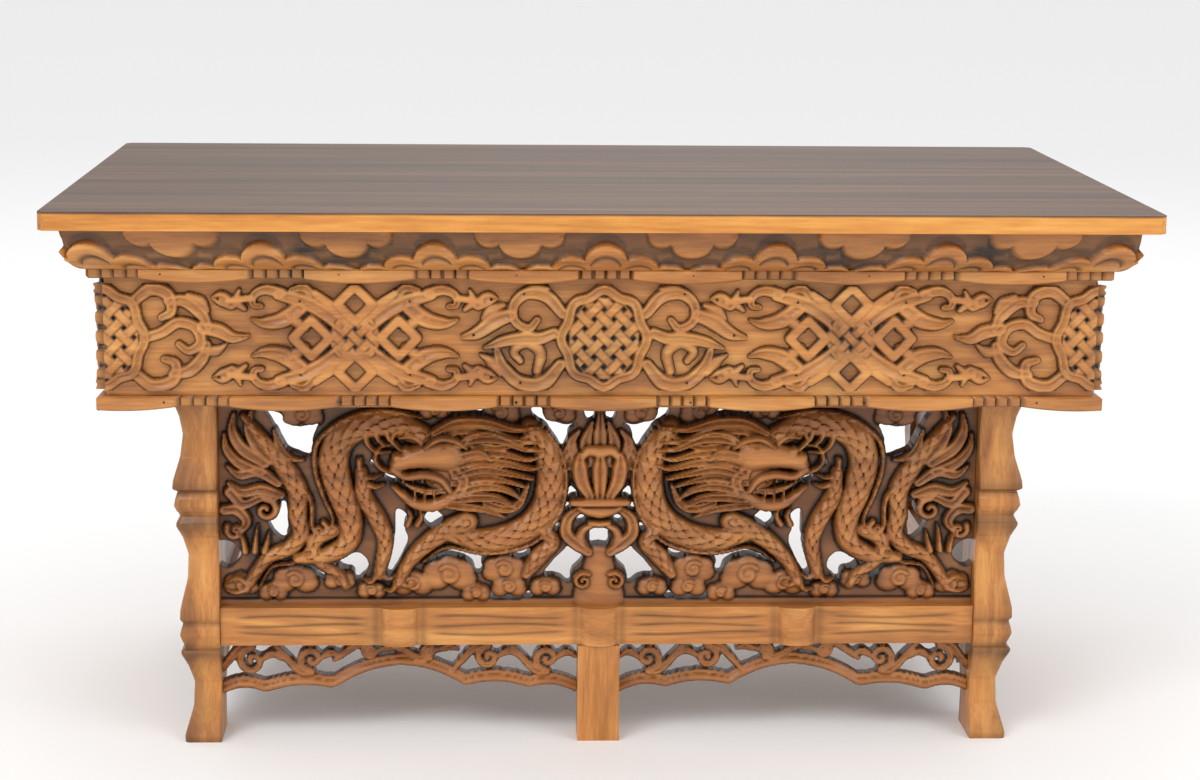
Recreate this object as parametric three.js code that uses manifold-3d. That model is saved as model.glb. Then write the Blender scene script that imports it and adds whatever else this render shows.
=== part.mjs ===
// Low folding altar table of carved hardwood: a top board on a corniced frieze box,
// a fixed carved front frame, and two hinged side frames that fold in under the box.
// Millimetres, +Z up, +X to the right, the front faces -Y.
// The origin is on the floor, under the middle of the top.
import * as THREE from 'three';
import { mergeVertices } from 'three/addons/utils/BufferGeometryUtils.js';
import Module from 'manifold-3d';

const wasm = await Module();
wasm.setup();

// Overall sizes
const TOP_WIDTH = 660;
const TOP_DEPTH = 400;
const TOP_THICKNESS = 11;
const HEIGHT = 340;

// Frieze box under the top: inset is measured in from the edge of the top
const CORNICE_HEIGHT = 25;
const CORNICE_TOP_INSET = 10;
const CORNICE_FOOT_INSET = 27;
const STRIP_THICKNESS = 7;
const UPPER_STRIP_INSET = 23;
const LOWER_STRIP_INSET = 28;
const LOWER_STRIP_REACH = 104;
const FRIEZE_INSET = 33;
const FRIEZE_HEIGHT = 71;
const FRIEZE_BOARD = 12;
const BATTEN_WIDTH = 40;
const BATTEN_HEIGHT = 18;
const BATTEN_PLACE = 211;

// Carved ornaments pinned to the frieze
const ORNAMENT_THICKNESS = 6;
const ORNAMENT_MARGIN = 3.5;
const TIP_PAST_MIDDLE = 11.75;
const SIDE_CORNER_SCROLL_LENGTH = 66;

// Leg frames
const LEG_FRAME_DEPTH = 290;
const POST_INNER_X = 235;
const POST_FLARE = 27;
const POST_BAND = 25.5;
const POST_WAIST = 19;
const POST_GROOVE = 22;
const RAIL_LOW = 62;
const RAIL_HEIGHT = 24;
const RAIL_DEPTH = 21;
const RAIL_TAB_PLACE = 124;
const RAIL_TAB_WIDTH = 23;
const RAIL_TAB_PROUD = 4;
const TOP_RAIL_HEIGHT = 7;
const PANEL_THICKNESS = 11;
const RELIEF_DEPTH = 10;
const PANEL_DRAWN_HALF_WIDTH = 234.7;
const PANEL_DRAWN_HEIGHT = 126;
const APRON_THICKNESS = 10;
const APRON_DROP = 34;
const APRON_RISE = 18;
const APRON_HUMP = 3.2;
const CENTRE_FOOT_WIDTH = 26;
const STILE_WIDTH = 22;
const SIDE_FRAME_THICKNESS = 17;
const SIDE_PANEL_THICKNESS = 10;
const SIDE_TOP_RAIL_HEIGHT = 18;

// Butt hinges of the side frames
const HINGE_LENGTH = 42;
const HINGE_PLACE = 78;
const HINGE_OFFSET = 4;
const KNUCKLE_RADIUS = 3;
const PIN_RADIUS = 1.1;
const PIN_CLEARANCE = 0.3;
const LEAF_THICKNESS = 1.5;
const LEAF_WIDTH = 24;

// Clearances
const GAP = 0.3;
const MITRE_GAP = 0.15;

// Levels worked out from the sizes
const topUnder = HEIGHT - TOP_THICKNESS;
const corniceFoot = topUnder - CORNICE_HEIGHT;
const upperStripUnder = corniceFoot - STRIP_THICKNESS;
const friezeFoot = upperStripUnder - FRIEZE_HEIGHT;
const legTop = friezeFoot - STRIP_THICKNESS;
const panelLow = RAIL_LOW + RAIL_HEIGHT;
const panelHigh = legTop - TOP_RAIL_HEIGHT;
const friezeInner = FRIEZE_INSET + FRIEZE_BOARD;
const postBack = LEG_FRAME_DEPTH / 2 - POST_BAND;
const sideInnerX = POST_INNER_X;

// The frieze's motifs stand one bay apart, and their tips reach past the middle between them
const motifBay = (TOP_WIDTH / 2 - FRIEZE_INSET) / 2;
const motifReach = motifBay / 2 + TIP_PAST_MIDDLE;

const wood = { color: 0xb5651d, roughness: 0.42, metalness: 0 };
const darkWood = { color: 0x4a2c1a, roughness: 0.35, metalness: 0 };
const burntWood = { color: 0x9a5218, roughness: 0.45, metalness: 0 };
const brass = { color: 0x9c7b3c, roughness: 0.4, metalness: 1 };

const table = new THREE.Group();

function addPiece(name, geometry, finish) {
  const mesh = new THREE.Mesh(geometry, new THREE.MeshStandardMaterial(finish));
  mesh.name = name;
  table.add(mesh);
  return mesh;
}

function solidOf(geometry) {
  const bare = geometry.clone();
  bare.deleteAttribute('normal');
  bare.deleteAttribute('uv');
  const merged = mergeVertices(bare, 1e-4);
  const vertProperties = new Float32Array(merged.attributes.position.array);
  const triVerts = new Uint32Array(merged.index.array);
  return new wasm.Manifold(new wasm.Mesh({ numProp: 3, vertProperties, triVerts }));
}

function geometryOf(solid) {
  const mesh = solid.getMesh();
  const geometry = new THREE.BufferGeometry();
  geometry.setAttribute('position', new THREE.BufferAttribute(new Float32Array(mesh.vertProperties), 3));
  geometry.setIndex(new THREE.BufferAttribute(new Uint32Array(mesh.triVerts), 1));
  return geometry;
}

function joined(geometries) {
  return geometryOf(geometries.map(solidOf).reduce((whole, part) => whole.add(part)));
}

function cut(body, tools) {
  return geometryOf(tools.map(solidOf).reduce((whole, tool) => whole.subtract(tool), solidOf(body)));
}

function within(body, room) {
  return geometryOf(solidOf(body).intersect(solidOf(room)));
}

function block(x0, x1, y0, y1, z0, z1) {
  const geometry = new THREE.BoxGeometry(Math.abs(x1 - x0), Math.abs(y1 - y0), Math.abs(z1 - z0));
  return geometry.translate((x0 + x1) / 2, (y0 + y1) / 2, (z0 + z1) / 2);
}

function extruded(shape, depth, segments = 6) {
  return new THREE.ExtrudeGeometry(shape, { depth, bevelEnabled: false, curveSegments: segments });
}

// A shape drawn in X and Z, from y0 back to y1
function facingFront(shape, y0, y1, segments) {
  return extruded(shape, y1 - y0, segments).rotateX(Math.PI / 2).translate(0, y1, 0);
}

// A shape drawn in Y and Z, from x0 to x1
function facingSide(shape, x0, x1, segments) {
  const turn = new THREE.Matrix4().makeBasis(
    new THREE.Vector3(0, 1, 0), new THREE.Vector3(0, 0, 1), new THREE.Vector3(1, 0, 0));
  return extruded(shape, x1 - x0, segments).applyMatrix4(turn).translate(x0, 0, 0);
}

function outline(points) {
  return new THREE.Shape(points.map(([x, y]) => new THREE.Vector2(x, y)));
}

function mirrorX(geometry) {
  const mirrored = geometry.clone().scale(-1, 1, 1);
  return flipped(mirrored.index ? mirrored : mergeVertices(mirrored));
}

function flipped(geometry) {
  const order = Array.from(geometry.index.array);
  for (let i = 0; i < order.length; i += 3) {
    [order[i + 1], order[i + 2]] = [order[i + 2], order[i + 1]];
  }
  geometry.setIndex(order);
  return geometry;
}

// Corners of each side of the rectangular frames, in plan
const SIDES = {
  front: [[-1, -1], [1, -1]],
  right: [[1, -1], [1, 1]],
  back: [[1, 1], [-1, 1]],
  left: [[-1, 1], [-1, -1]],
};

// One mitred bar of a frame: its section is points of inset and height
function mitredBar(section, [start, end]) {
  const along = [Math.sign(end[0] - start[0]), Math.sign(end[1] - start[1])];
  const place = ([sx, sy], [inset, z], back) => [
    sx * (TOP_WIDTH / 2 - inset) + along[0] * MITRE_GAP * back,
    sy * (TOP_DEPTH / 2 - inset) + along[1] * MITRE_GAP * back, z];
  const vertices = [
    ...section.map((point) => place(start, point, 1)),
    ...section.map((point) => place(end, point, -1))];
  const count = section.length;
  const faces = THREE.ShapeUtils.triangulateShape(section.map(([a, b]) => new THREE.Vector2(a, b)), []);
  const order = [];
  for (const [a, b, c] of faces) {
    order.push(a, b, c, a + count, c + count, b + count);
  }
  for (let i = 0; i < count; i += 1) {
    const next = (i + 1) % count;
    order.push(next, i, i + count, next, i + count, next + count);
  }
  const geometry = new THREE.BufferGeometry();
  geometry.setAttribute('position', new THREE.Float32BufferAttribute(vertices.flat(), 3));
  geometry.setIndex(order);
  return volumeOf(geometry) < 0 ? flipped(geometry) : geometry;
}

function volumeOf(geometry) {
  const p = geometry.attributes.position;
  const index = geometry.index.array;
  let total = 0;
  const corner = (k) => new THREE.Vector3().fromBufferAttribute(p, index[k]);
  for (let i = 0; i < index.length; i += 3) {
    total += corner(i).dot(corner(i + 1).cross(corner(i + 2)));
  }
  return total / 6;
}

// Top board with clipped corners
function topBoard() {
  const w = TOP_WIDTH / 2;
  const d = TOP_DEPTH / 2;
  const clip = 4;
  const plan = outline([[-w + clip, -d], [w - clip, -d], [w, -d + clip], [w, d - clip],
    [w - clip, d], [-w + clip, d], [-w, d - clip], [-w, -d + clip]]);
  return extruded(plan, TOP_THICKNESS).translate(0, 0, topUnder);
}

// Sloping hollow of the cornice, from under the top to the upper strip
function corniceSection() {
  const steps = 5;
  const points = [];
  for (let i = 0; i <= steps; i += 1) {
    const t = i / steps;
    const inset = CORNICE_TOP_INSET + (CORNICE_FOOT_INSET - CORNICE_TOP_INSET) * (1 - Math.cos(t * Math.PI / 2));
    points.push([inset, topUnder - CORNICE_HEIGHT * Math.sin(t * Math.PI / 2)]);
  }
  return [...points, [friezeInner, corniceFoot], [friezeInner, topUnder]];
}

function flatSection(outer, inner, low, high) {
  return [[outer, high], [outer, low], [inner, low], [inner, high]];
}

function addBoxFrames() {
  for (const [side, corners] of Object.entries(SIDES)) {
    addPiece(`cornice_${side}`, mitredBar(corniceSection(), corners), wood);
    addPiece(`upper_strip_${side}`,
      mitredBar(flatSection(UPPER_STRIP_INSET, friezeInner, upperStripUnder, corniceFoot), corners), wood);
    addPiece(`frieze_${side}`,
      mitredBar(flatSection(FRIEZE_INSET, friezeInner, friezeFoot, upperStripUnder), corners), wood);
    addPiece(`lower_strip_${side}`,
      mitredBar(flatSection(LOWER_STRIP_INSET, LOWER_STRIP_REACH, legTop, friezeFoot), corners), wood);
  }
}

function addBattens() {
  const reach = TOP_DEPTH / 2 - friezeInner - GAP;
  for (const [side, sign] of [['left', -1], ['right', 1]]) {
    const middle = sign * BATTEN_PLACE;
    addPiece(`top_batten_${side}`, block(middle - BATTEN_WIDTH / 2, middle + BATTEN_WIDTH / 2,
      -reach, reach, topUnder - BATTEN_HEIGHT, topUnder), burntWood);
  }
}

function diamondHole(x, y, half) {
  return new THREE.Path([[x - half, y], [x, y - half], [x + half, y], [x, y + half]]
    .map(([a, b]) => new THREE.Vector2(a, b)));
}

// Endless-knot cross: four diamond loops around a woven middle, with four leafy arms
function knotCross() {
  const tall = FRIEZE_HEIGHT / 2 - ORNAMENT_MARGIN;
  const loop = 11;
  const loopAt = tall - loop;
  const arm = 7;
  const tip = motifReach;
  const quarter = [[loop, loopAt], [loop + 4, loopAt - 6], [tip * 0.45, tall - 9], [tip * 0.62, tall - 5],
    [tip * 0.8, tall - 2], [tip, tall - 6], [tip * 0.82, tall - 6 - arm], [tip * 0.62, tall - 6 - arm * 1.7],
    [loopAt + loop + 4, loop]];
  const ring = [[0, tall], ...quarter, [loopAt + loop + 9, 0]];
  const half = [...ring, ...ring.slice(1, -1).reverse().map(([x, y]) => [x, -y]), [0, -tall]];
  const whole = [...half, ...half.slice(1, -1).reverse().map(([x, y]) => [-x, y])];
  const shape = outline(whole.reverse());
  const eye = 3.4;
  for (const [x, y] of [[0, loopAt], [0, -loopAt], [loopAt + 4, 0], [-loopAt - 4, 0],
    [0, 0], [9, 0], [-9, 0], [0, 9], [0, -9]]) {
    shape.holes.push(diamondHole(x, y, eye));
  }
  return shape;
}

// Round medallion of basket weave with a scroll wing on each side
function basketMedallion() {
  const tall = FRIEZE_HEIGHT / 2 - ORNAMENT_MARGIN;
  const shape = new THREE.Shape();
  const wing = motifReach;
  const ring = 30;
  shape.moveTo(0, -tall);
  shape.quadraticCurveTo(ring * 0.8, -tall, ring, -tall * 0.65);
  shape.quadraticCurveTo(wing * 0.6, -tall, wing * 0.66, -tall * 0.5);
  shape.quadraticCurveTo(wing * 0.75, -6, wing, -1);
  shape.quadraticCurveTo(wing * 0.8, 9, wing * 0.66, tall * 0.55);
  shape.quadraticCurveTo(wing * 0.6, tall, ring, tall * 0.7);
  shape.quadraticCurveTo(ring * 0.8, tall, 0, tall);
  shape.quadraticCurveTo(-ring * 0.8, tall, -ring, tall * 0.7);
  shape.quadraticCurveTo(-wing * 0.6, tall, -wing * 0.66, tall * 0.55);
  shape.quadraticCurveTo(-wing * 0.8, 9, -wing, -1);
  shape.quadraticCurveTo(-wing * 0.75, -6, -wing * 0.66, -tall * 0.5);
  shape.quadraticCurveTo(-wing * 0.6, -tall, -ring, -tall * 0.65);
  shape.quadraticCurveTo(-ring * 0.8, -tall, 0, -tall);
  for (let i = -1; i <= 1; i += 1) {
    for (let j = -1; j <= 1; j += 1) {
      shape.holes.push(diamondHole(i * 11 + 0.01, j * 11, 3.2));
    }
  }
  for (const sign of [-1, 1]) {
    shape.holes.push(diamondHole(sign * wing * 0.56, 9, 5));
    shape.holes.push(diamondHole(sign * wing * 0.56, -9, 5));
  }
  return shape;
}

// Half medallion that starts at a corner and ends in a leaf tip, drawn towards +X
function cornerScroll(length) {
  const tall = FRIEZE_HEIGHT / 2 - ORNAMENT_MARGIN;
  const shape = new THREE.Shape();
  shape.moveTo(0, -tall);
  shape.quadraticCurveTo(length * 0.3, -tall, length * 0.42, -tall * 0.7);
  shape.quadraticCurveTo(length * 0.62, -tall * 0.85, length * 0.68, -tall * 0.4);
  shape.quadraticCurveTo(length * 0.8, -2, length, 3);
  shape.quadraticCurveTo(length * 0.8, 9, length * 0.68, tall * 0.55);
  shape.quadraticCurveTo(length * 0.6, tall * 0.9, length * 0.42, tall * 0.72);
  shape.quadraticCurveTo(length * 0.3, tall, 0, tall);
  shape.closePath();
  for (const [x, y] of [[0.16, 0.4], [0.16, -0.4], [0.3, 0], [0.52, 0.35], [0.52, -0.35]]) {
    shape.holes.push(diamondHole(x * length, y * tall, 3.8));
  }
  return shape;
}

function addOrnaments() {
  const middle = friezeFoot + FRIEZE_HEIGHT / 2;
  const faceY = -(TOP_DEPTH / 2 - FRIEZE_INSET);
  const faceX = TOP_WIDTH / 2 - FRIEZE_INSET;
  const onFront = (shape, x) => facingFront(shape, faceY - ORNAMENT_THICKNESS, faceY).translate(x, 0, middle);
  const onRight = (shape, y) => facingSide(shape, faceX, faceX + ORNAMENT_THICKNESS).translate(0, y, middle);
  addPiece('medallion_front', onFront(basketMedallion(), 0), burntWood);
  addPiece('knot_cross_front_left', onFront(knotCross(), -motifBay), burntWood);
  addPiece('knot_cross_front_right', onFront(knotCross(), motifBay), burntWood);
  const frontScroll = onFront(cornerScroll(motifReach), 0).translate(-faceX, 0, 0);
  addPiece('corner_scroll_front_left', frontScroll, burntWood);
  addPiece('corner_scroll_front_right', mirrorX(frontScroll), burntWood);
  const sideKnot = onRight(knotCross(), 0);
  addPiece('knot_cross_right', sideKnot, burntWood);
  addPiece('knot_cross_left', mirrorX(sideKnot), burntWood);
  const sideScroll = onRight(cornerScroll(SIDE_CORNER_SCROLL_LENGTH), faceY);
  const rearScroll = sideScroll.clone().rotateZ(Math.PI);
  addPiece('corner_scroll_right_front', sideScroll, burntWood);
  addPiece('corner_scroll_left_front', mirrorX(sideScroll), burntWood);
  addPiece('corner_scroll_left_rear', rearScroll, burntWood);
  addPiece('corner_scroll_right_rear', mirrorX(rearScroll), burntWood);
}

// Outline of a post seen from one side: how far it reaches out at each height, as
// three stacked ogee feet with a band over the middle and the lower one
function postProfile(top) {
  const points = [[0, 0]];
  const curve = (from, to, low, high) => {
    const steps = 6;
    for (let i = 0; i <= steps; i += 1) {
      const t = i / steps;
      const hollow = Math.sin(Math.PI * t) ** 1.3;
      points.push([from + (to - from) * t - hollow * ((from + to) / 2 - POST_WAIST), low + (high - low) * t]);
    }
  };
  const bandLow = RAIL_LOW - 2;
  const bandHigh = RAIL_LOW + 17;
  const upperBandLow = 143;
  const upperBandHigh = 162;
  curve(POST_BAND - 3, POST_BAND - 2, 0, bandLow);
  points.push([POST_GROOVE, bandLow + 3], [POST_BAND - 1, bandLow + 9], [POST_GROOVE + 1, bandHigh]);
  curve(POST_BAND - 1, POST_BAND, bandHigh + 1, upperBandLow - 5);
  points.push([POST_GROOVE, upperBandLow], [POST_BAND + 1, upperBandLow + 8], [POST_GROOVE + 2, upperBandHigh]);
  curve(POST_FLARE, POST_FLARE - 1, upperBandHigh + 1, top);
  points.push([0, top]);
  return points;
}

// A square post whose outer faces both follow the ogee profile
function ogeePost(top) {
  const profile = postProfile(top);
  const across = facingFront(outline(profile), -POST_FLARE - 2, 0);
  const deep = facingSide(outline(profile.map(([out, z]) => [-out, z]).reverse()), 0, POST_FLARE + 2);
  return geometryOf(solidOf(across).intersect(solidOf(deep)));
}

function addFrontPosts() {
  const post = ogeePost(legTop).translate(POST_INNER_X, -postBack, 0);
  addPiece('front_post_right', post, wood);
  addPiece('front_post_left', mirrorX(post), wood);
}

function addFrontRails() {
  const reach = POST_INNER_X - GAP;
  const front = -postBack - RAIL_DEPTH;
  const parts = [block(-reach, reach, front, -postBack, RAIL_LOW, panelLow)];
  for (const x of [-RAIL_TAB_PLACE, 0, RAIL_TAB_PLACE]) {
    const tab = new THREE.CylinderGeometry(RAIL_TAB_WIDTH / 2, RAIL_TAB_WIDTH / 2, RAIL_HEIGHT - 1, 12);
    const squash = RAIL_TAB_PROUD / (RAIL_TAB_WIDTH / 2);
    parts.push(tab.rotateX(Math.PI / 2).scale(1, squash, 1).translate(x, front, RAIL_LOW + RAIL_HEIGHT / 2));
  }
  addPiece('front_rail', joined(parts), wood);
  addPiece('front_top_rail',
    block(-reach, reach, -postBack - RAIL_DEPTH + 6, -postBack, panelHigh, legTop), burntWood);
  const half = CENTRE_FOOT_WIDTH / 2;
  addPiece('centre_foot', block(-half, half, front - 2, -postBack, 0, RAIL_LOW - GAP), wood);
}

function roundHole(x, z, wide, tall) {
  const path = new THREE.Path();
  path.absellipse(x, z, wide / 2, tall / 2, 0, Math.PI * 2, true);
  return path;
}

// A thick line in X and Z that swells from its start width to its end width
function band(points, startWidth, endWidth, y0, y1) {
  const curve = new THREE.CatmullRomCurve3(points.map(([x, z]) => new THREE.Vector3(x, z, 0)));
  const steps = points.length * 3;
  const left = [];
  const right = [];
  for (let i = 0; i <= steps; i += 1) {
    const t = i / steps;
    const at = curve.getPoint(t);
    const way = curve.getTangent(t);
    const half = (startWidth + (endWidth - startWidth) * t) / 2;
    left.push([at.x - way.y * half, at.y + way.x * half]);
    right.push([at.x + way.y * half, at.y - way.x * half]);
  }
  return facingFront(outline([...right, ...left.reverse()]), y0, y1);
}

// Pierced board with the flaming jewel in the middle and the two dragons in high relief,
// drawn from the rail upwards at its drawn size and then fitted between posts and rails
function dragonPanel() {
  const back = -postBack;
  const face = back - PANEL_THICKNESS;
  const raised = face - RELIEF_DEPTH;
  const wide = PANEL_DRAWN_HALF_WIDTH;
  const tall = PANEL_DRAWN_HEIGHT;
  const board = outline([[-wide, 0], [wide, 0], [wide, tall], [-wide, tall]]);
  const openings = [[-196, 77, 14, 28], [-190, 30, 44, 10], [-140, 92, 14, 20], [-118, 64, 16, 12],
    [-118, 32, 12, 22], [-76, 42, 30, 12], [-42, 90, 22, 30], [-20, 20, 16, 12], [-52, 30, 14, 10]];
  for (const [x, z, width, height] of openings) {
    board.holes.push(roundHole(x, z, width, height), roundHole(-x, z, width, height));
  }
  const parts = [facingFront(board, face, back, 5)];
  const deep = face + PANEL_THICKNESS / 2;
  for (const side of [-1, 1]) {
    const at = ([x, z]) => [side * x, z];
    const tail = [[213, 119], [205, 84], [212, 54], [196, 36], [178, 42]].map(at);
    const body = [[178, 42], [163, 64], [160, 92], [142, 109], [118, 112]].map(at);
    const chest = [[40, 104], [34, 74], [50, 44], [80, 26], [105, 24]].map(at);
    const leg = [[150, 54], [136, 34], [142, 14]].map(at);
    parts.push(band(tail, 10, 20, raised + 3, deep), band(body, 24, 22, raised, deep));
    parts.push(band(chest, 20, 22, raised, deep), band(leg, 13, 10, raised + 2, deep));
    const head = new THREE.SphereGeometry(1, 12, 8).scale(36, RELIEF_DEPTH + 6, 24);
    parts.push(head.translate(side * 92, face + 3, 88));
  }
  const vase = [[-5, 26], [5, 26], [6, 44], [18, 52], [22, 66], [16, 80], [20, 94], [12, 110],
    [0, 124], [-12, 110], [-20, 94], [-16, 80], [-22, 66], [-18, 52], [-6, 44]];
  parts.push(facingFront(outline(vase), raised + 2, deep));
  const flatBacked = within(joined(parts), block(-wide, wide, raised - RELIEF_DEPTH, back, 0, tall));
  const reach = POST_INNER_X - GAP;
  return flatBacked.scale(reach / wide, 1, (panelHigh - panelLow) / tall).translate(0, 0, panelLow);
}

// Pierced apron board with cusps along its lower edge, for the left half of the front
function apronShape(start, end, high) {
  const low = high - APRON_DROP;
  const span = end - start;
  const shape = new THREE.Shape();
  shape.moveTo(start, high);
  shape.lineTo(start, low);
  const stops = [[0.12, 0.5], [0.31, 3], [0.5, APRON_RISE], [0.685, 4.5], [0.866, 3], [1, 0]];
  let from = 0;
  let before = 0;
  for (const [share, lift] of stops) {
    const hump = low + (before + lift) / 2 + 2 * APRON_HUMP;
    shape.quadraticCurveTo(start + span * (from + share) / 2, hump, start + span * share, low + lift);
    from = share;
    before = lift;
  }
  shape.lineTo(end, high);
  shape.closePath();
  const cells = 8;
  for (let i = 0; i < cells; i += 1) {
    const x = start + span * (i + 0.5) / cells;
    shape.holes.push(roundHole(x, high - APRON_DROP * 0.3, Math.abs(span) / cells * 0.5, 8));
  }
  return shape;
}

function addDragonPanelAndAprons() {
  addPiece('dragon_panel', dragonPanel(), burntWood);
  const start = -POST_INNER_X + GAP;
  const end = -CENTRE_FOOT_WIDTH / 2 - GAP;
  const apron = facingFront(apronShape(start, end, RAIL_LOW - GAP), -postBack - APRON_THICKNESS, -postBack, 4);
  addPiece('scroll_apron_left', apron, burntWood);
  addPiece('scroll_apron_right', mirrorX(apron), burntWood);
}

// The right-hand side frame, from behind the front post to the rear post
function sideFramePieces() {
  const inner = sideInnerX;
  const outer = inner + SIDE_FRAME_THICKNESS;
  const top = legTop - GAP;
  const start = -postBack + GAP;
  const railStart = start + STILE_WIDTH + GAP;
  const railEnd = postBack - GAP;
  const panelX = inner + (SIDE_FRAME_THICKNESS - SIDE_PANEL_THICKNESS) / 2;
  const topRailLow = top - SIDE_TOP_RAIL_HEIGHT;
  const stile = outline([[start, 0], [start + STILE_WIDTH * 0.7, 0], [start + STILE_WIDTH * 0.6, 22],
    [start + STILE_WIDTH, 44], [start + STILE_WIDTH, top], [start, top]]);
  const panel = outline([[railStart, panelLow + GAP], [railEnd, panelLow + GAP],
    [railEnd, topRailLow - GAP], [railStart, topRailLow - GAP]]);
  const middle = (railStart + railEnd) / 2;
  const high = (panelLow + topRailLow) / 2;
  const long = railEnd - railStart;
  const tall = topRailLow - panelLow;
  for (const side of [-1, 1]) {
    panel.holes.push(roundHole(middle + side * long * 0.18, high + tall * 0.19, long * 0.14, tall * 0.14));
    panel.holes.push(roundHole(middle + side * long * 0.36, high + tall * 0.05, long * 0.075, tall * 0.35));
    panel.holes.push(roundHole(middle + side * long * 0.18, high - tall * 0.22, long * 0.14, tall * 0.12));
  }
  return {
    rear_post: ogeePost(top).rotateZ(Math.PI).scale(-1, 1, 1),
    side_front_stile: facingSide(stile, inner, outer),
    side_top_rail: block(inner, outer, railStart, railEnd, topRailLow, top),
    side_rail: block(inner, outer, railStart, railEnd, RAIL_LOW, panelLow),
    side_panel: facingSide(panel, panelX, panelX + SIDE_PANEL_THICKNESS, 5),
    side_apron: facingSide(apronShape(railStart, railEnd, RAIL_LOW - GAP), panelX, panelX + APRON_THICKNESS, 4),
  };
}

function addSideFrames() {
  for (const [name, shape] of Object.entries(sideFramePieces())) {
    const isPost = name === 'rear_post';
    const right = isPost
      ? flipped(mergeVertices(shape)).translate(sideInnerX, postBack, 0)
      : shape;
    const finish = name === 'side_panel' || name === 'side_apron' ? burntWood : wood;
    addPiece(`${name}_right`, right, finish);
    addPiece(`${name}_left`, mirrorX(right), finish);
  }
}

// A round bar along Y, about the hinge axis
function alongY(radius, y0, y1) {
  return new THREE.CylinderGeometry(radius, radius, y1 - y0, 12).translate(0, (y0 + y1) / 2, 0);
}

// Both leaves of a hinge around its own axis, with the side frame towards +X
function hingeLeaves() {
  const third = HINGE_LENGTH / 3;
  const half = HINGE_LENGTH / 2;
  const keepOff = KNUCKLE_RADIUS + 0.5;
  const leafOuter = HINGE_OFFSET - GAP;
  const leafInner = leafOuter - LEAF_THICKNESS;
  const fixed = cut(joined([
    block(-LEAF_WIDTH, 0, -half, half, leafInner, leafOuter),
    alongY(KNUCKLE_RADIUS, -half, half),
  ]), [
    block(-keepOff, keepOff, -third / 2 - GAP, third / 2 + GAP, -keepOff, leafOuter + 1),
    alongY(PIN_RADIUS + PIN_CLEARANCE, -half - 1, half + 1),
  ]);
  const moving = joined([
    block(leafInner, leafOuter, -half, half, -LEAF_WIDTH, -keepOff),
    block(leafInner, leafOuter, -third / 2, third / 2, -LEAF_WIDTH, 0),
    alongY(KNUCKLE_RADIUS, -third / 2, third / 2),
    alongY(PIN_RADIUS, -half, half),
  ]);
  return { fixed, moving };
}

function addHinges() {
  const { fixed, moving } = hingeLeaves();
  const axisX = sideInnerX - HINGE_OFFSET;
  const axisZ = legTop - HINGE_OFFSET;
  for (const [end, sign] of [['front', -1], ['rear', 1]]) {
    const right = fixed.clone().translate(axisX, sign * HINGE_PLACE, axisZ);
    const rightMoving = moving.clone().translate(axisX, sign * HINGE_PLACE, axisZ);
    addPiece(`hinge_fixed_leaf_right_${end}`, right, brass);
    addPiece(`hinge_fixed_leaf_left_${end}`, mirrorX(right), brass);
    addPiece(`hinge_moving_leaf_right_${end}`, rightMoving, brass);
    addPiece(`hinge_moving_leaf_left_${end}`, mirrorX(rightMoving), brass);
  }
}

addPiece('table_top', topBoard(), darkWood);
addBoxFrames();
addBattens();
addOrnaments();
addFrontPosts();
addFrontRails();
addDragonPanelAndAprons();
addSideFrames();
addHinges();

export default table;
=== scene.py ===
# Looks of the folding altar table: carved reliefs, mouldings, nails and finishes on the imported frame.
# Lengths in drawings are millimetres and the scene is in metres.
import math
import bpy
import numpy as np
from mathutils import Matrix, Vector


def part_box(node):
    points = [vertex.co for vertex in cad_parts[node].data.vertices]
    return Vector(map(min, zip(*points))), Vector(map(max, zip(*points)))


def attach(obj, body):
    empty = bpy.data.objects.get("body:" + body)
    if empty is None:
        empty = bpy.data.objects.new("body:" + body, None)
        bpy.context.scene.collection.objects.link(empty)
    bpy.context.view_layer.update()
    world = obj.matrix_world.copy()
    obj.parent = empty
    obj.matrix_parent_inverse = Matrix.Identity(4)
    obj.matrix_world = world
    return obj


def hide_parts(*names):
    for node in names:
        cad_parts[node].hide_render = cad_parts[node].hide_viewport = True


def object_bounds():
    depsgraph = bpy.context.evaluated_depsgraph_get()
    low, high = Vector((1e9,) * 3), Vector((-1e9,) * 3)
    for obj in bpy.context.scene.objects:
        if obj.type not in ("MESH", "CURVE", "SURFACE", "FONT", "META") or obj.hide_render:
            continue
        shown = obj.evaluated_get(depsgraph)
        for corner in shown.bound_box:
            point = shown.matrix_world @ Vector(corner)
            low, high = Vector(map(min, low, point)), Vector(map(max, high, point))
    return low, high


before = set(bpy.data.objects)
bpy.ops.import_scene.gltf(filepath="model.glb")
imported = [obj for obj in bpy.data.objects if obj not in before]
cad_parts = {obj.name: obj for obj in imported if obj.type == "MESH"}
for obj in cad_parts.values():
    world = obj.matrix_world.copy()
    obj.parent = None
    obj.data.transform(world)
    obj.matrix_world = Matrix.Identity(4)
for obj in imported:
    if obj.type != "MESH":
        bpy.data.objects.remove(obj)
cad_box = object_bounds()

MM = 0.001

# Camera at the photograph's angle
CAMERA_PLACE = (-0.0739, -1.7199, 0.5329)
CAMERA_YAW = 0.0463
CAMERA_PITCH = 0.1929
CAMERA_ROLL = 0.0097
CAMERA_FOCAL_PX = 2630.2
FRAME_PX = (1200, 780)
SENSOR_MM = 36

# Fineness of the carving
PANEL_STEP = 0.8
ORNAMENT_STEP = 0.62
APRON_STEP = 0.9
SIDE_PANEL_STEP = 1.1
LEAST_RELIEF = 0.6
ORNAMENT_FULLNESS = 1.32
SCALE_DEPTH = 2.6

# Carved dragon panel, drawn on a half sheet from the middle outwards
SHEET_HALF_WIDTH = 239
SHEET_HEIGHT = 136
PANEL_BOARD = 10

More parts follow.
